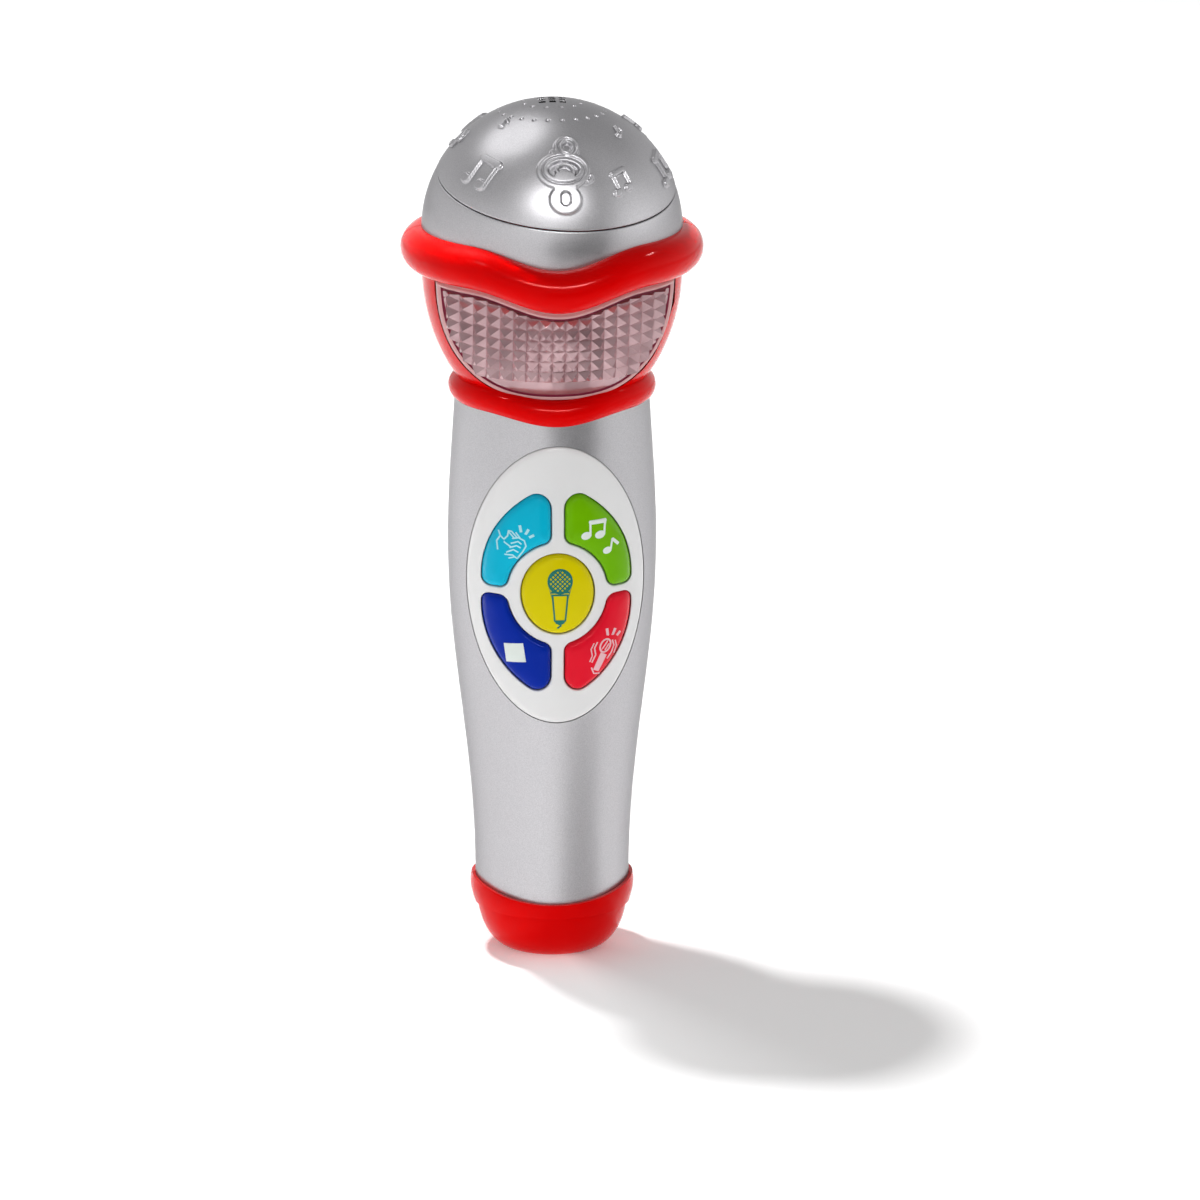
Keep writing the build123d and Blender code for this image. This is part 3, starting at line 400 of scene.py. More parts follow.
def matt(name, colour, roughness, grain, metallic=0.0, height=0.00003, spread=0.25):
    """A plain matt or metal surface with a grain of this scale."""
    material, shader = new_material(name, Metallic=metallic)
    source = add_noise(material, grain, 3.0)
    dark = tuple(c * (1 - spread) for c in colour)
    vary_colour(material, shader, source, dark, colour)
    vary_roughness(material, shader, add_noise(material, grain / 4), roughness - 0.06, roughness + 0.06)
    add_bump(material, shader, source, 0.25, height)
    return material


def clear_plastic():
    """The window: moulded clear plastic that looks pale pink over the red casing."""
    material, shader = new_material(
        "clear_plastic", Transmission_Weight=0.4, IOR=1.5, Metallic=0.5, Coat_Weight=0.1, Coat_Roughness=0.3
    )
    vary_colour(material, shader, add_noise(material, 160.0), (0.50, 0.31, 0.33), (0.62, 0.41, 0.43))
    vary_roughness(material, shader, add_noise(material, 500.0), 0.12, 0.18)
    return material


def clear_lamp():
    material, shader = new_material("clear_lamp", Transmission_Weight=0.8, IOR=1.5)
    vary_roughness(material, shader, add_noise(material, 900.0), 0.05, 0.12)
    return material


MATERIALS = {
    "silver_paint": silver_paint(),
    "red_plastic": glossy("red_plastic", (0.72, 0.0003, 0.0005), 0.12, 0.1),
    "clear_plastic": clear_plastic(),
    "white_plastic": glossy("white_plastic", (0.80, 0.80, 0.80), 0.2, 0.3, 0.02),
    "yellow_plastic": glossy("yellow_plastic", (0.70, 0.60, 0.0006)),
    "light_blue_plastic": glossy("light_blue_plastic", (0.003, 0.47, 0.68)),
    "green_plastic": glossy("green_plastic", (0.16, 0.46, 0.001)),
    "dark_blue_plastic": glossy("dark_blue_plastic", (0.0006, 0.022, 0.34)),
    "button_red_plastic": glossy("button_red_plastic", (0.80, 0.009, 0.028)),
    "silicone": matt("silicone", (0.55, 0.55, 0.56), 0.55, 900.0),
    "circuit_board": matt("circuit_board", (0.03, 0.20, 0.07), 0.35, 1500.0),
    "black_parts": matt("black_parts", (0.02, 0.02, 0.02), 0.4, 1800.0),
    "black_plastic": matt("black_plastic", (0.03, 0.03, 0.032), 0.5, 2500.0),
    "steel": matt("steel", (0.62, 0.62, 0.63), 0.3, 1200.0, 1.0),
    "nickel": matt("nickel", (0.75, 0.73, 0.68), 0.2, 900.0, 1.0, 0.00001, 0.1),
    "cell_jacket": glossy("cell_jacket", (0.10, 0.11, 0.13), 0.25),
    "ferrite": matt("ferrite", (0.06, 0.06, 0.06), 0.6, 2000.0, 0.3),
    "cone_paper": matt("cone_paper", (0.05, 0.05, 0.05), 0.85, 1200.0, 0.0, 0.0001),
    "foam": matt("foam", (0.08, 0.08, 0.08), 0.85, 2200.0, 0.0, 0.0002),
    "clear_lamp": clear_lamp(),
    "wire_red": glossy("wire_red", (0.6, 0.02, 0.02), 0.4),
    "wire_black": glossy("wire_black", (0.03, 0.03, 0.03), 0.4),
}
# Near black painted shade: it colours the dome's sound-hole dips and the card that only darkens reflections.
PAINTED_SHADE_BLACK = matt("painted_shade_black", (0.004, 0.004, 0.004), 0.9, 2000.0)
# Painted shade: a dark red-purple colour for the window's groove, standing in for the shade in it.
WINDOW_GROOVE_SHADE = glossy("window_groove_shade", (0.24, 0.03, 0.06), 0.2, 0.3)
WINDOW_RIM = glossy("window_rim", (0.62, 0.34, 0.34), 0.2, 0.3)
PRINT_WHITE = glossy("print_white", (0.78, 0.84, 0.80), 0.35)
PRINT_PINK = glossy("print_pink", (0.85, 0.50, 0.54), 0.35)
PRINT_PALE_BLUE = glossy("print_pale_blue", (0.42, 0.78, 0.86), 0.35)
PRINT_TEAL = glossy("print_teal", (0.02, 0.17, 0.14), 0.35)

for row in frame["record"]["subparts"]:
    for place in nodes[row["node"]].material_slots:
        place.material = MATERIALS[row["material_slot"]]


# ---- head: rings ------------------------------------------------------------------------------
def dip(x, depth, half):
    """How far a ring is lower at x than at its sides."""
    return np.where(np.abs(x) < half, depth * 0.5 * (1 + np.cos(math.pi * x / half)), 0.0)


def half_ring(name, ring, front, replaced):
    """One half of a full round ring; its ends are rounded where the halves meet."""
    ROUND = 0.3
    HALF_GAP = 0.03
    SECTIONS = 110
    AROUND = 48
    reach = math.pi / 2 - HALF_GAP / ring["radius"]
    angles = np.linspace(-reach, reach, SECTIONS)
    ends = ROUND / ring["radius"]
    extra = [ends * s for s in (0.1, 0.3, 0.6, 1.0)]
    angles = np.unique(np.concatenate([angles, [-reach + e for e in extra], [reach - e for e in extra]]))
    points = []
    for angle in angles:
        from_end = (reach - abs(angle)) * ring["radius"]
        tube = ring["tube"] - float(rounded_drop(np.array(from_end), ROUND))
        sin, cos = math.sin(angle), math.cos(angle)
        low = float(dip(ring["radius"] * sin, ring["depth"], ring["half"])) if front else 0.0
        for turn in np.linspace(0, 2 * math.pi, AROUND, endpoint=False):
            r = ring["radius"] + tube * math.cos(turn)
            points.append((r * sin, (-r if front else r) * cos, ring["level"] - low + tube * math.sin(turn)))
    faces = []
    rows = len(angles)
    for i in range(rows - 1):
        for j in range(AROUND):
            k = (j + 1) % AROUND
            faces.append((i * AROUND + j, i * AROUND + k, (i + 1) * AROUND + k, (i + 1) * AROUND + j))
    faces.append(tuple(range(AROUND))[::-1])
    faces.append(tuple((rows - 1) * AROUND + j for j in range(AROUND)))
    if not front:
        faces = [face[::-1] for face in faces]
    piece = new_object(name, points, faces, MATERIALS["red_plastic"])
    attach(piece, "housing")
    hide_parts(replaced)
    return piece


rings = [
    half_ring("upper_ring_front_tube", UPPER_RING, True, "upper_ring_front"),
    half_ring("upper_ring_back_tube", UPPER_RING, False, "upper_ring_back"),
    half_ring("collar_front_tube", COLLAR_RING, True, "collar_ring_front"),
    half_ring("collar_back_tube", COLLAR_RING, False, "collar_ring_back"),
]


# ---- head: window -----------------------------------------------------------------------------
COLUMN = 2.95  # pyramids are evenly spaced in X and Z
ROW = 2.6
FIELD_LOW = 139.6  # the band below this is flat
RIM = 1.0
GROOVE = 0.6
PYRAMID = 1.3
WINDOW_PLAY = 0.15  # between the window's flange and the bowl's opening
FLANGE = 0.05  # how far the rim stands in from the flange's edge
UNDER_RING = 0.9  # the flange's top is this far above the ring's lower edge
BELOW_RING = 0.4  # the rim's top is this far below it


def bowl_radius(z):
    return BOWL_A * np.sqrt(np.maximum(1 - ((z - BOWL_Z) / BOWL_B) ** 2, 0.0))


def bowl_point(x, z, height):
    """A point of the bowl's front, raised along the bowl's normal."""
    radius = bowl_radius(z)
    azimuth = np.arcsin(np.clip(x / radius, -1, 1))
    slope_r, slope_z = radius / BOWL_A**2, (z - BOWL_Z) / BOWL_B**2
    size = np.hypot(slope_r, slope_z)
    r = radius + height * slope_r / size
    return np.column_stack([r * np.sin(azimuth), -r * np.cos(azimuth), z + height * slope_z / size])


def window_loop(inset, cover):
    """The window's outline from the front, with its top this far above the ring's lower edge."""
    side = [(x * (1 - inset / 27.4), z + inset * (z < 150)) for x, z in WINDOW_SIDE]
    left = [(-x, z) for x, z in reversed(side[1:])]
    edge = natural_spline(left + side, 240)
    ring = UPPER_RING
    level = ring["level"] - ring["tube"] + cover
    edge = edge[edge[:, 1] < level]
    xs = np.linspace(edge[-1, 0], edge[0, 0], 120)[1:-1]
    top = np.column_stack([xs, level - dip(xs, ring["depth"], ring["half"])])
    return even_loop(np.vstack([edge, top]), 0.5)


def pyramid_height(flat):
    """Pyramids on the grid: 0 at a cell's edges, 1 at its middle."""
    u = (flat[:, 0] / COLUMN + 0.5) % 1.0 * 2 - 1
    v = ((flat[:, 1] - FIELD_LOW) / ROW) % 1.0 * 2 - 1
    return np.where(flat[:, 1] > FIELD_LOW, 1 - np.maximum(np.abs(u), np.abs(v)), 0.0)


def pyramid_window():
    """A flange, a rounded rim, a groove coloured dark as painted shade, and inside it the field of pyramids.
    """
    STEP = 0.08
    outline = window_loop(WINDOW_PLAY, UNDER_RING)
    rim_edge = window_loop(WINDOW_PLAY + FLANGE, -BELOW_RING)
    stops = [0, 0.15, 0.35, RIM / 2, RIM - 0.2, RIM, RIM + STEP, RIM + GROOVE - STEP, RIM + GROOVE]
    loops = [outline] + [moved_loop(rim_edge, -s) for s in stops]
    low, high = outline.min(axis=0), outline.max(axis=0)
    edges = []
    for i in range(int(low[0] / COLUMN) - 2, int(high[0] / COLUMN) + 2):
        for j in range(0, int((high[1] - FIELD_LOW) / ROW) + 1):
            left, bottom = (i - 0.5) * COLUMN, FIELD_LOW + j * ROW
            right, top = left + COLUMN, bottom + ROW
            corners = [(left, bottom), (right, bottom), (right, top), (left, top)]
            middle = ((left + right) / 2, (bottom + top) / 2)
            if not inside_loop(np.array([*corners, middle]), outline).any():
                continue
            edges += [(corners[0], corners[1]), (corners[1], corners[2])]
            edges += [(corner, middle) for corner in corners]
    flat, faces = layout(loops, np.empty((0, 2)), lambda c: inside_loop(c, outline), edges)
    distance = distance_to_path(flat, rim_edge, True) * inside_loop(flat, rim_edge)
    rim = np.interp(distance, stops, [-0.1, 0.05, 0.18, 0.25, 0.15, 0.0, -0.45, -0.45, -0.1])
    height = np.where(distance > RIM + GROOVE - 0.01, PYRAMID * pyramid_height(flat) - 0.1, rim)
    piece = new_object("pyramid_window", bowl_point(flat[:, 0], flat[:, 1], height), faces,
                       MATERIALS["clear_plastic"], smooth=False)
    middles = np.array([flat[list(face)].mean(axis=0) for face in faces])
    from_edge = distance_to_path(middles, rim_edge, True)
    from_edge *= inside_loop(middles, rim_edge)
    piece.data.materials.append(WINDOW_GROOVE_SHADE)
    piece.data.materials.append(WINDOW_RIM)
    slots = {material.name: i for i, material in enumerate(piece.data.materials)}
    # Faces on the rim get the rim's tone; faces in the groove get the dark painted shade.
    for polygon, distance in zip(piece.data.polygons, from_edge):
        if distance < RIM:
            polygon.material_index = slots["window_rim"]
        elif distance < RIM + GROOVE - STEP:
            polygon.material_index = slots["window_groove_shade"]
    add_wall(piece, 1.2)
    for polygon in piece.data.polygons:
        polygon.use_smooth = False
    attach(piece, "housing")
    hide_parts("lens")
    return piece


window = pyramid_window()


# ---- dome ---------------------------------------------------------------------------------------
def joint_polar(azimuth):
    """Polar angle of the tilted joint at an azimuth from the front."""
    nz = math.cos(JOINT_TILT)
    across = math.sin(JOINT_TILT) * np.cos(azimuth - JOINT_AZIMUTH)
    reach = np.hypot(nz, across)
    return np.arctan2(across, nz) + np.arccos((JOINT_Z - DOME_Z) * nz / DOME_R / reach)


def dome_direction(azimuth, polar):
    sin = np.sin(polar)
    return np.column_stack([sin * np.sin(azimuth), -sin * np.cos(azimuth), np.cos(polar)])


def local_plane(directions, azimuth, polar, turn=0.0):
    """Each direction's place, in mm, on a flat sheet that touches the dome at this point."""
    centre = dome_direction(np.array([azimuth]), np.array([polar]))[0]
    right = np.array([math.cos(azimuth), math.sin(azimuth), 0.0])
    up = np.cross(right, centre)
    up *= np.sign(up[2])
    angle = np.arccos(np.clip(directions @ centre, -1, 1))
    scale = DOME_R * angle / np.maximum(np.sin(angle), 1e-6)
    u, v = scale * (directions @ right), scale * (directions @ up)
    u[angle > 1.2] = 1e3
    cos, sin = math.cos(turn), math.sin(turn)
    return np.column_stack([cos * u + sin * v, -sin * u + cos * v])


def rise(distance, width, slope=0.3):
    """1 within width / 2 of a line and 0 beyond, with a soft edge."""
    t = np.clip((width / 2 + slope / 2 - distance) / slope, 0, 1)
    return t * t * (3 - 2 * t)


def stroke(flat, points, width, slope=0.3):
    return rise(distance_to_path(flat, np.array(points, float)), width, slope)


def disc(flat, centre, a, b):
    """An ellipse that is raised all over."""
    scaled = (flat - centre) / (a, b)
    distance = (np.linalg.norm(scaled, axis=1) - 1) * min(a, b)
    return rise(distance, 0.0)


def clef(flat):
    """A treble clef: broad raised lines with a groove along them, and a ball with a hole."""
    turns = np.linspace(0, 2 * math.pi, 40)
    loop = [(0.2 + 4.7 * math.cos(t), 0.7 + 3.3 * math.sin(t)) for t in turns]
    top = [(1.3 + 1.9 * math.cos(t), 6.6 + 2.1 * math.sin(t)) for t in turns]
    swirl = [
        ((2.4 - 0.32 * t) * math.cos(t), 0.5 + (1.9 - 0.25 * t) * math.sin(t))
        for t in np.linspace(-1.2, 3.6, 30)
    ]
    height = np.maximum.reduce([
        stroke(flat, loop, 2.5),
        stroke(flat, top, 1.9),
        stroke(flat, swirl, 0.7),
        stroke(flat, [(0.3, -2.0), (0.3, -6.0)], 5.2),
        stroke(flat, [(-1.9, 5.4), (-0.6, 4.0)], 1.2),
        stroke(flat, [(5.4, -2.0), (6.4, -1.4), (6.5, -0.4)], 0.8),
        disc(flat, (0.3, -6.2), 3.6, 3.3),
    ])
    groove = np.maximum.reduce([
        stroke(flat, loop, 0.45), stroke(flat, top, 0.35), stroke(flat, [(3.4, -3.4), (5.4, -2.8)], 0.4)
    ])
    hole = stroke(flat, [(0.3, -5.5), (0.3, -6.5)], 2.2, 0.25)
    return 1.0 * np.clip(height - 0.5 * groove, 0, 1) * (1 - 0.85 * hole)


def beamed_note(flat, size):
    """Two note heads joined by a beam, size tall."""
    s = size / 8.0
    parts = [
        disc(flat, (-2.6 * s, -3.0 * s), 1.4 * s, 1.1 * s),
        disc(flat, (2.0 * s, -2.6 * s), 1.4 * s, 1.1 * s),
        stroke(flat, [(-1.5 * s, -3.0 * s), (-1.5 * s, 3.0 * s)], 0.7 * s),
        stroke(flat, [(3.1 * s, -2.6 * s), (3.1 * s, 3.4 * s)], 0.7 * s),
        stroke(flat, [(-1.5 * s, 2.6 * s), (3.1 * s, 3.0 * s)], 1.6 * s),
    ]
    return 0.7 * np.maximum.reduce(parts)


def single_note(flat, size):
    """One note head with its stem and flag, size tall."""
    s = size / 6.0
    parts = [
        disc(flat, (-0.8 * s, -2.0 * s), 1.3 * s, 1.0 * s),
        stroke(flat, [(0.2 * s, -2.0 * s), (0.2 * s, 2.8 * s)], 0.6 * s),
        stroke(flat, [(0.2 * s, 2.6 * s), (1.2 * s, 1.4 * s), (1.7 * s, 0.2 * s)], 0.8 * s),
    ]
    return 0.7 * np.maximum.reduce(parts)


RELIEF = [  # shape, azimuth, polar angle and turn in degrees, size in mm
    (lambda flat, _: clef(flat), 2.5, 54.0, 0.0, 0.0),
    (beamed_note, -44.0, 55.0, -18.0, 8.5),
    (beamed_note, 33.0, 59.5, 12.0, 6.0),
    (beamed_note, 72.0, 59.0, 10.0, 8.0),
    (single_note, 54.0, 36.0, -20.0, 3.6),
    (single_note, -51.0, 29.0, 20.0, 3.2),
    (single_note, -87.0, 45.0, -10.0, 6.0),
    (single_note, 100.0, 38.0, 15.0, 5.5),
    (beamed_note, 122.0, 46.0, -12.0, 8.0),
    (beamed_note, 178.0, 36.0, 0.0, 7.5),
    (beamed_note, -124.0, 42.0, 14.0, 7.5),
    (single_note, 150.0, 40.0, 12.0, 4.5),
    (single_note, -150.0, 40.0, -12.0, 4.5),
]
HOLE_PITCH = 2.36
DOTS = [(12, 6.6, 0.42), (24, 12.4, 0.45)]  # count, distance from the pole, radius


def dome_height(directions):
    """Relief, dimples and sound holes of the dome, in mm above its surface."""
    height = np.zeros(len(directions))
    for shape, azimuth, polar, turn, size in RELIEF:
        flat = local_plane(directions, math.radians(azimuth), math.radians(polar), math.radians(turn))
        near = np.abs(flat).max(axis=1) < 11
        height[near] = np.maximum(height[near], shape(flat[near], size))
    angle = np.arccos(np.clip(directions[:, 2], -1, 1))
    around = np.arctan2(directions[:, 0], -directions[:, 1])
    flat = DOME_R * angle[:, None] * np.column_stack([np.sin(around), np.cos(around)])
    for count, reach, radius in DOTS:
        for i in range(count):
            turn = 2 * math.pi * (i + 0.5) / count
            centre = reach * np.array([math.sin(turn), math.cos(turn)])
            distance = np.linalg.norm(flat - centre, axis=1)
            height -= 0.4 * rise(distance, 2 * radius, 0.25)
    for i in (-1, 0, 1):
        for j in (-1, 0, 1):
            distance = np.abs(flat - (i * HOLE_PITCH, j * HOLE_PITCH)).max(axis=1)
            height -= 2.2 * rise(distance, 1.4, 0.12)
    return height


def dome_cap_shell():
    """The cap: a fine polar grid that ends at the joint, with a rounded rim."""
    COLUMNS = 760
    ROUND = 0.35
    PROUD = 0.12
    azimuths = np.linspace(-math.pi, math.pi, COLUMNS, endpoint=False)
    limit = joint_polar(azimuths) - 0.10 / DOME_R
    near_pole = np.arange(0.10, 6.0, 0.11)
    rest = np.linspace(0, 1, 190)[1:]
    rim = np.array([ROUND * (1 - math.cos(a)) for a in np.linspace(math.pi / 2, 0, 6)])
    points = [np.array([[0.0, 0.0, DOME_R]])]
    rows = [np.full(COLUMNS, r / DOME_R) for r in near_pole]
    start = near_pole[-1] / DOME_R
    stop = limit - ROUND / DOME_R
    rows += [start + (stop - start) * s for s in rest]
    rows += [limit - r / DOME_R for r in rim[1:]]
    drops = [0.0] * (len(near_pole) + len(rest)) + [float(rounded_drop(np.array(r), ROUND)) for r in rim[1:]]
    for polar, drop in zip(rows, drops):
        directions = dome_direction(azimuths, polar)
        radius = DOME_R + PROUD + dome_height(directions) - drop
        points.append(directions * radius[:, None])
    wall = dome_direction(azimuths, limit)
    points.append(wall * (DOME_R - 1.4))
    points[0][0, 2] += float(dome_height(np.array([[0.0, 0.0, 1.0]]))[0])
    points = np.vstack(points) + (0, 0, DOME_Z)
    faces = [(0, 1 + j, 1 + (j + 1) % COLUMNS) for j in range(COLUMNS)]
    count = len(rows) + 1
    for i in range(count - 1):
        a, b = 1 + i * COLUMNS, 1 + (i + 1) * COLUMNS
        faces += [(a + j, b + j, b + (j + 1) % COLUMNS, a + (j + 1) % COLUMNS) for j in range(COLUMNS)]
    piece = new_object("dome_cap_shell", points, faces, MATERIALS["silver_paint"])
    piece.data.materials.append(PAINTED_SHADE_BLACK)
    centre = Vector((0, 0, DOME_Z * MM))
    # The sound-hole dips near the pole get the near black painted shade, standing in for the dark inside
    # behind the holes.
    for polygon in piece.data.polygons:
        near_pole = math.hypot(polygon.center.x, polygon.center.y) < 4.5 * MM
        if near_pole and (polygon.center - centre).length < (DOME_R + PROUD - 0.1) * MM:
            polygon.material_index = 1
    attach(piece, "housing")
    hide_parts("dome_cap")
    return piece


def dome_band_shell():
    """The band below the joint, down into the upper ring."""
    COLUMNS = 256
    ROUND = 0.3
    azimuths = np.linspace(-math.pi, math.pi, COLUMNS, endpoint=False)
    limit = joint_polar(azimuths) + 0.10 / DOME_R
    bottom = math.radians(99.0)
    rounding = [(ROUND * (1 - math.cos(a)), a) for a in np.linspace(0, math.pi / 2, 6)]
    rows = [(limit, DOME_R - 1.4)]
    rows += [(limit + r / DOME_R, DOME_R - float(rounded_drop(np.array(r), ROUND))) for r, _ in rounding]
    start = limit + ROUND / DOME_R
    rows += [(start + (bottom - start) * s, DOME_R) for s in np.linspace(0, 1, 40)[1:]]
    points = np.vstack([dome_direction(azimuths, polar) * radius for polar, radius in rows]) + (0, 0, DOME_Z)
    faces = []
    for i in range(len(rows) - 1):
        a, b = i * COLUMNS, (i + 1) * COLUMNS
        faces += [(a + j, b + j, b + (j + 1) % COLUMNS, a + (j + 1) % COLUMNS) for j in range(COLUMNS)]
    piece = new_object("dome_band_shell", points, faces, MATERIALS["silver_paint"])
    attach(piece, "housing")
    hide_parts("dome_band")
    return piece


dome_cap_shell()
dome_band_shell()

# ---- panel and buttons --------------------------------------------------------------------------
QUARTERS = {"clap": (-1, 1), "music": (1, 1), "stop": (-1, -1), "shake": (1, -1)}
SLOTS = {
    "clap": "light_blue_plastic",
    "music": "green_plastic",
    "stop": "dark_blue_plastic",
    "shake": "button_red_plastic",
    "sing": "yellow_plastic",
}
OUTLINES = {name: quarter_loop(*place) for name, place in QUARTERS.items()}
OUTLINES["sing"] = ellipse_loop((0, BUTTON_Z), CENTRE_A, CENTRE_B, 0.35)

panel = plate(
    "panel_skin",
    ellipse_loop((0, PANEL_Z), PANEL_A, PANEL_B),
    [moved_loop(loop, BUTTON_GAP) for loop in OUTLINES.values()],
    lambda flat: PANEL_PROUD + 0 * flat[:, 0],
    (1.7, 0.65),
    1.6,
    MATERIALS["white_plastic"],
)
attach(panel, "housing")
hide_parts("control_panel")


def button_height(name):
    """The crowned height of a button above the handle's surface."""
    outline = OUTLINES[name]
    proud, crown, width = (0.8, 0.8, 7.0) if name == "sing" else (0.7, 0.7, 3.6)

    def height(flat):
        inward = np.clip(distance_to_path(flat, outline, True) / width, 0, 1)
        return proud + crown * (1 - (1 - inward) ** 2)

    return height


for name, outline in OUTLINES.items():
    button = plate(
        f"{name}_button_skin", outline, [], button_height(name), (1.1, 1.3), 2.6, MATERIALS[SLOTS[name]], 0.6
    )
    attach(button, f"{name}_button")
    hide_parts(f"button_{name}")


# ---- prints on the buttons ------------------------------------------------------------------------
def capsule(points, width):
    """The outline of a line with round ends."""
    points = np.array(points, float)
    left, right = [], []
    for i, p in enumerate(points):
        before = points[max(i - 1, 0)]
        after = points[min(i + 1, len(points) - 1)]
        ahead = (after - before) / np.linalg.norm(after - before)
        side = np.array([-ahead[1], ahead[0]]) * width / 2
        left.append(p + side)
        right.append(p - side)
    return np.array(left + right[::-1])


def densified(points, step=0.35, closed=False):
    """The same path with more points, so that it follows a curved button."""
    points = np.array(points, float)
    ends = np.roll(points, -1, axis=0) if closed else points[1:]
    path = []
    for start, end in zip(points, ends):
        count = max(int(np.linalg.norm(end - start) / step), 1)
        path += [start + (end - start) * i / count for i in range(count)]
    return np.array(path if closed else [*path, points[-1]])


def printed(name, lines, fills, material):
    """Ink on a button: lines are (points, width) and fills are closed loops, in front-view mm."""
    INK = 0.05
    lines = [(densified(points), width) for points, width in lines]
    fills = [densified(fill, closed=True) for fill in fills]
    loops = [capsule(points, width) for points, width in lines] + fills
    grid = grid_points(np.vstack(loops), 0.7)

    def keep(centres):
        inside = np.zeros(len(centres), bool)
        for points, width in lines:
            inside |= distance_to_path(centres, points) < width / 2 + 0.005
        for fill in fills:
            inside |= inside_loop(centres, fill)
        return inside

    flat, faces = layout(loops, grid[keep(grid)], keep)
    raise_by = button_height(name)(flat) + INK
    y = handle_y(flat[:, 0], flat[:, 1]) - raise_by
    piece = new_object(f"{name}_print", np.column_stack([flat[:, 0], y, flat[:, 1]]), faces, material)
    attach(piece, f"{name}_button")
    return piece


def shifted(points, centre, turn=0.0):
    """Points turned by this many degrees and moved to a centre."""
    a = math.radians(turn)
    spin = np.array([[math.cos(a), math.sin(a)], [-math.sin(a), math.cos(a)]])
    return np.array(points, float) @ spin + centre


def oval(centre, a, b, turn=0.0, count=20):
    angles = np.linspace(0, 2 * math.pi, count, endpoint=False)
    return shifted(np.column_stack([a * np.cos(angles), b * np.sin(angles)]), centre, turn)


def print_microphone():
    """Teal outline of a microphone with a hatched head, on the centre button."""
    x, top = 0.4, BUTTON_Z + 3.3
    ring = oval((x, top), 2.65, 2.75, 0, 36)
    lines = [(np.vstack([ring, ring[:1]]), 0.5)]
    for slant in (-1, 1):
        for offset in np.arange(-3.0, 3.1, 0.75):
            reach = math.sqrt(max(2.6**2 - offset**2, 0))
            if reach > 0.4:
                ends = [(offset * 0.707 - s * reach * 0.707, slant * (offset * 0.707 + s * reach * 0.707))
                        for s in (-1, 1)]
                lines.append((shifted(ends, (x, top)), 0.34))
    lines += [
        (shifted([(-2.1, 0.75), (2.1, 0.75)], (x, BUTTON_Z)), 0.45),
        (shifted([(-1.9, 0.1), (1.9, 0.1)], (x, BUTTON_Z)), 0.4),
        (shifted([(-1.75, 0.1), (-1.2, -6.2)], (x, BUTTON_Z)), 0.4),
        (shifted([(1.75, 0.1), (1.2, -6.2)], (x, BUTTON_Z)), 0.4),
        (shifted([(0.3, -7.2), (-0.6, -7.9)], (x, BUTTON_Z)), 0.4),
    ]
    cap = shifted([(-1.3, -5.9), (1.3, -5.9), (1.0, -6.7), (0, -7.2), (-1.0, -6.7)], (x, BUTTON_Z))
    return printed("sing", lines, [cap], PRINT_TEAL)


def print_notes():
    """A beamed pair of notes and a small single note."""
    base = BUTTON_Z + 13.7
    fills = [oval((6.4, base), 1.2, 0.9, 15), oval((9.6, base), 1.2, 0.9, 15)]
    fills.append(oval((11.3, BUTTON_Z + 9.8), 1.05, 0.8, 15))
    lines = [
        ([(7.35, base), (7.35, base + 3.3)], 0.5),
        ([(10.55, base), (10.8, base + 3.4)], 0.5),
        ([(7.2, base + 3.0), (10.95, base + 3.1)], 1.0),
        ([(12.1, BUTTON_Z + 9.9), (12.5, BUTTON_Z + 12.4)], 0.45),
        ([(12.5, BUTTON_Z + 12.3), (13.9, BUTTON_Z + 10.9)], 0.7),
    ]
    return printed("music", lines, fills, PRINT_WHITE)


def print_hands():
    """Two clapping hands in thin lines, with three ticks above them."""
    centre = (-10.3, BUTTON_Z + 11.6)
    left_hand = [
        [(-3.3, -1.6), (-3.5, 0.4), (-2.7, 1.7), (-3.1, 2.9)],
        [(-2.7, 1.7), (-1.9, 1.0), (-1.1, 1.9), (-0.9, 3.1), (-0.1, 3.0)],
        [(-0.9, 2.9), (0.3, 1.6)],
        [(-0.1, 2.9), (1.0, 1.7)],
        [(0.7, 2.9), (1.7, 1.6)],
        [(-1.9, 0.4), (-0.4, -0.6)],
    ]
    right_hand = [
        [(0.0, 1.4), (1.3, 1.7), (2.6, 1.1), (3.0, -0.2), (2.2, -1.7)],
        [(-0.4, 0.2), (1.2, 0.8), (2.0, 0.2)],
        [(-0.7, -0.8), (0.9, -0.2), (1.8, -0.7)],
        [(-1.3, -1.9), (0.2, -1.2), (1.3, -1.8)],
        [(-1.8, -2.5), (0.0, -2.5), (1.0, -3.3), (2.2, -1.7)],
        [(-0.9, -3.3), (0.6, -2.9)],
    ]
    lines = [(shifted(points, centre), 0.34) for points in left_hand + right_hand]
    ticks = [[(1.9, 3.0), (1.6, 4.6)], [(2.9, 2.6), (3.6, 3.8)], [(3.7, 1.9), (4.8, 2.5)]]
    lines += [(shifted(points, centre), 0.62) for points in ticks]
    return printed("clap", lines, [], PRINT_PALE_BLUE)


def print_square():
    centre = (-9.75, BUTTON_Z - 14.2)
    corners = [(-2.5, 2.1), (1.8, 2.5), (2.5, -2.0), (-1.9, -2.4)]
    return printed("stop", [], [shifted(corners, centre)], PRINT_WHITE)


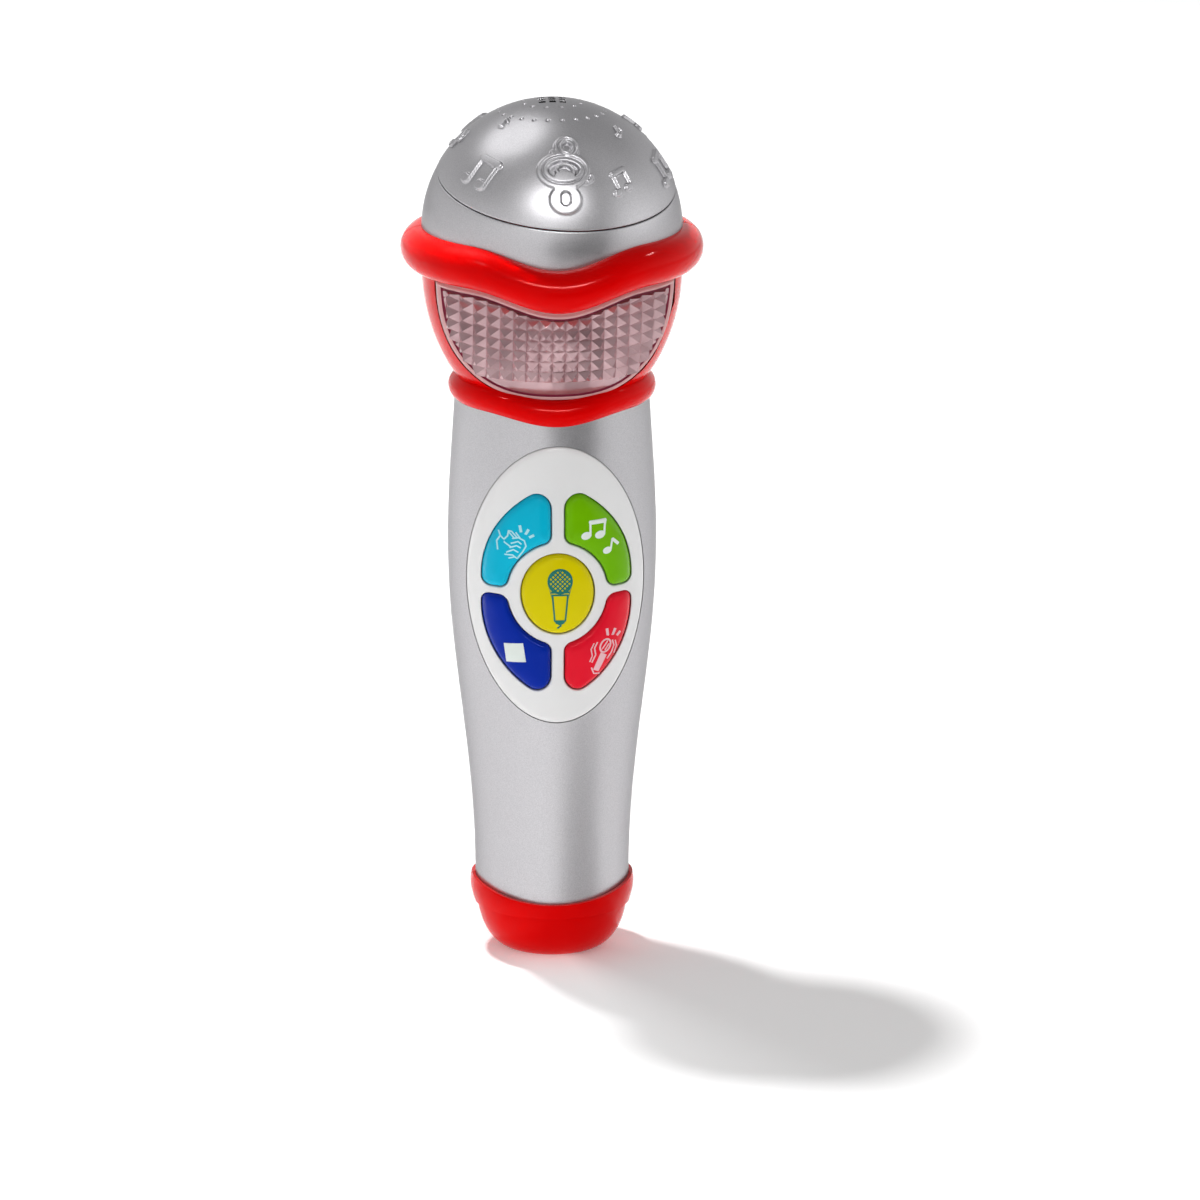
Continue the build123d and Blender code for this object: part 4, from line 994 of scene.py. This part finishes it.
def print_shaker():
    """A tilted microphone with motion lines and three ticks."""
    centre = (10.0, BUTTON_Z - 15.4)
    head = oval((0.95, 2.5), 1.15, 1.6, -25, 24)
    body = [(-0.1, 1.0), (1.3, 0.2), (-0.6, -3.6), (-1.9, -3.0)]
    lines = [
        (shifted(np.vstack([head, head[:1]]), centre), 0.4),
        (shifted([(0.3, 1.9), (1.4, 3.4)], centre), 0.3),
        (shifted([(0.9, 1.5), (1.8, 2.8)], centre), 0.3),
        (shifted([(-0.9, 3.6), (-1.6, 2.2), (-1.3, 0.6), (-2.2, -1.2)], centre), 0.32),
        (shifted([(-1.7, 3.4), (-2.4, 2.0), (-2.1, 0.4), (-2.7, -1.0)], centre), 0.28),
        (shifted([(2.6, 3.6), (3.0, 2.2), (2.4, 0.6), (1.4, -0.8)], centre), 0.32),
        (shifted([(3.3, 3.4), (3.6, 2.0), (3.0, 0.2)], centre), 0.28),
        (shifted([(-2.3, -2.4), (-1.7, -4.0), (-0.3, -4.2)], centre), 0.32),
    ]
    ticks = [[(1.5, 5.0), (1.3, 6.6)], [(2.7, 4.9), (3.3, 6.3)], [(3.7, 4.4), (4.5, 5.3)]]
    lines += [(shifted(points, centre), 0.62) for points in ticks]
    return printed("shake", lines, [shifted(body, centre)], PRINT_PINK)


print_microphone()
print_notes()
print_hands()
print_square()
print_shaker()


# ---- floor, light and camera ------------------------------------------------------------------------
def azimuth_share(tree, vector):
    """0 to 1 round the upright axis, 0.5 straight in front (-Y), rising towards +X."""
    split = tree.nodes.new("ShaderNodeSeparateXYZ")
    front = tree.nodes.new("ShaderNodeMath")
    azimuth = tree.nodes.new("ShaderNodeMath")
    share = tree.nodes.new("ShaderNodeMapRange")
    front.operation = "MULTIPLY"
    front.inputs[1].default_value = -1.0
    azimuth.operation = "ARCTAN2"
    share.inputs["From Min"].default_value = -math.pi
    share.inputs["From Max"].default_value = math.pi
    tree.links.new(vector, split.inputs["Vector"])
    tree.links.new(split.outputs["Y"], front.inputs[0])
    tree.links.new(split.outputs["X"], azimuth.inputs[0])
    tree.links.new(front.outputs["Value"], azimuth.inputs[1])
    tree.links.new(azimuth.outputs["Value"], share.inputs["Value"])
    return share.outputs["Result"], split.outputs["Z"]


def ramp_of(tree, source, stops):
    """A grey ramp from (position, value) stops."""
    ramp = tree.nodes.new("ShaderNodeValToRGB")
    elements = ramp.color_ramp.elements
    elements[0].position, elements[1].position = stops[0][0], stops[-1][0]
    for position, _ in stops[1:-1]:
        elements.new(position)
    for element, (_, value) in zip(elements, stops):
        element.color = (value, value, value, 1)
    tree.links.new(source, ramp.inputs["Fac"])
    return ramp.outputs["Color"]


def turned(stops):
    """Stops by azimuth in degrees, as stops of azimuth_share."""
    return [(0.5 + angle / 360, value) for angle, value in stops]


def floor():
    """White paper that glows a little, most in front of the toy: painted light, dimmest where the toy's
    shadow falls.
    """
    mesh = bpy.data.meshes.new("floor")
    reach = 6.0
    corners = [(-reach, -reach, 0), (reach, -reach, 0), (reach, reach, 0), (-reach, reach, 0)]
    mesh.from_pydata(corners, [], [(0, 1, 2, 3)])
    material, shader = new_material("floor_paper_painted_light", Roughness=0.9, Specular_IOR_Level=0.1)
    vary_colour(material, shader, add_noise(material, 3.0), (0.92, 0.92, 0.92), (0.94, 0.94, 0.94))
    tree = material.node_tree
    share, _ = azimuth_share(tree, tree.nodes.new("ShaderNodeTexCoord").outputs["Object"])
    # Painted light: the glow by azimuth is a painted pool of light in front and painted shade towards the
    # shadow.
    around = [
        (-180, 0.16), (-100, 0.15), (-60, 0.20), (-15, 0.31), (12, 0.30), (32, 0.14), (60, 0.13), (85, 0.18),
        (180, 0.16),
    ]
    tree.links.new(ramp_of(tree, share, turned(around)), shader.inputs["Emission Color"])
    shader.inputs["Emission Strength"].default_value = 1.0
    mesh.materials.append(material)
    piece = bpy.data.objects.new("floor", mesh)
    bpy.context.scene.collection.objects.link(piece)


def looking_at(piece, towards, distance, target=(0, 0, 0.1)):
    """Places a light or card in this direction from the target, facing it."""
    direction = Vector(towards).normalized()
    piece.location = Vector(target) + direction * distance
    piece.rotation_euler = direction.to_track_quat("Z", "Y").to_euler()
    bpy.context.scene.collection.objects.link(piece)


def soft_box(name, towards, distance, width, height, shape, power):
    """A large light that shows in reflections and adds nothing to the diffuse light."""
    light = bpy.data.lights.new(name, "AREA")
    light.shape = shape
    light.size = width
    if shape == "RECTANGLE":
        light.size_y = height
    light.energy = power
    lamp = bpy.data.objects.new(name, light)
    lamp.visible_diffuse = False
    looking_at(lamp, towards, distance)
    return lamp


def link_lamp(lamp, pieces, state):
    """INCLUDE lights only these pieces with the lamp; EXCLUDE lights all but these."""
    receivers = bpy.data.collections.new(f"{lamp.name}_receivers")
    for piece in pieces:
        receivers.objects.link(piece)
    lamp.light_linking.receiver_collection = receivers
    for entry in receivers.collection_objects:
        entry.light_linking.link_state = state


def dark_card(name, azimuth, distance, width, height):
    """A black card that stands in front and only shows in reflections."""
    mesh = bpy.data.meshes.new(name)
    w, h = width / 2, height / 2
    mesh.from_pydata([(-w, -h, 0), (w, -h, 0), (w, h, 0), (-w, h, 0)], [], [(0, 1, 2, 3)])
    mesh.materials.append(PAINTED_SHADE_BLACK)
    card = bpy.data.objects.new(name, mesh)
    angle = math.radians(azimuth)
    looking_at(card, (math.sin(angle), -math.cos(angle), 0), distance)
    card.visible_camera = False
    card.visible_shadow = False
    card.visible_diffuse = False
    card.visible_transmission = False


def camera():
    AZIMUTH = math.radians(-3.3)
    ELEVATION = math.radians(14.5)
    DISTANCE = 1.727
    target = Vector((0, 0, 0.0987))
    direction = Vector((
        math.sin(AZIMUTH) * math.cos(ELEVATION),
        -math.cos(AZIMUTH) * math.cos(ELEVATION),
        math.sin(ELEVATION),
    ))
    data = bpy.data.cameras.new("camera")
    data.lens = 225
    data.sensor_width = 36
    data.shift_x = 0.04
    data.shift_y = -0.057
    view = bpy.data.objects.new("camera", data)
    view.location = target + direction * DISTANCE
    view.rotation_euler = direction.to_track_quat("Z", "Y").to_euler()
    bpy.context.scene.collection.objects.link(view)
    bpy.context.scene.camera = view


def world():
    """A white sweep, darker overhead, with a dark gap between two soft walls of light."""
    BRIGHTNESS = 1.75
    surroundings = bpy.data.worlds.new("studio")
    surroundings.use_nodes = True
    tree = surroundings.node_tree
    space = tree.nodes.new("ShaderNodeTexCoord")
    share, height = azimuth_share(tree, space.outputs["Generated"])
    around = [
        (-180, 0.6), (-110, 0.55), (-70, 0.68), (-20, 0.80), (8, 0.80), (22, 0.32), (46, 0.34), (62, 0.9),
        (85, 1.0), (110, 0.7), (180, 0.6),
    ]
    sides = ramp_of(tree, share, turned(around))
    up = ramp_of(tree, height, [(0.0, 0.95), (0.25, 0.70), (0.6, 0.37), (1.0, 0.29)])
    both = tree.nodes.new("ShaderNodeMix")
    both.data_type = "RGBA"
    both.blend_type = "MULTIPLY"
    both.inputs["Factor"].default_value = 1.0
    tree.links.new(sides, both.inputs["A"])
    tree.links.new(up, both.inputs["B"])
    tree.links.new(both.outputs["Result"], tree.nodes["Background"].inputs["Color"])
    tree.nodes["Background"].inputs["Strength"].default_value = BRIGHTNESS
    bpy.context.scene.world = surroundings


def key_lamp(place, power, radius):
    """A near lamp behind and to the left, so that the shadow widens away from the toy."""
    light = bpy.data.lights.new("key", "POINT")
    light.energy = power
    light.shadow_soft_size = radius
    lamp = bpy.data.objects.new("key", light)
    lamp.location = place
    lamp.visible_glossy = False
    bpy.context.scene.collection.objects.link(lamp)


def lamps():
    """The key lamp, soft boxes that only show in reflections, and strips for thin highlights."""
    BEHIND_LEFT = (-0.35, 0.31, 0.88)
    IN_FRONT = (0.03, -0.79, 0.61)
    key_lamp((-0.32, 0.46, 1.26), 55.0, 0.06)
    soft_box("key_glow", BEHIND_LEFT, 1.2, 0.85, 0.85, "DISK", 2.6)
    soft_box("key_core", BEHIND_LEFT, 1.2, 0.2, 0.2, "DISK", 1.7)
    soft_box("front_glow", (-0.02, -0.79, 0.61), 1.5, 1.5, 0.5, "RECTANGLE", 2.4)
    front_strip = soft_box("front_strip", IN_FRONT, 1.4, 0.7, 0.14, "RECTANGLE", 6.0)
    link_lamp(front_strip, [window], "EXCLUDE")
    ring_strips = {
        "left": ((-0.56, -0.31, 0.77), 0.25, 3.5),
        "right": ((0.63, 0.15, 0.77), 0.25, 3.5),
        "middle": (IN_FRONT, 0.5, 12.0),
    }
    for side, (towards, width, power) in ring_strips.items():
        strip = soft_box(f"{side}_ring_strip", towards, 1.35, width, 0.08, "RECTANGLE", power)
        link_lamp(strip, rings, "INCLUDE")


floor()
world()
lamps()
dark_card("gap_card", 21.0, 0.48, 0.47, 0.2)
camera()
bpy.context.scene.view_settings.view_transform = "Standard"
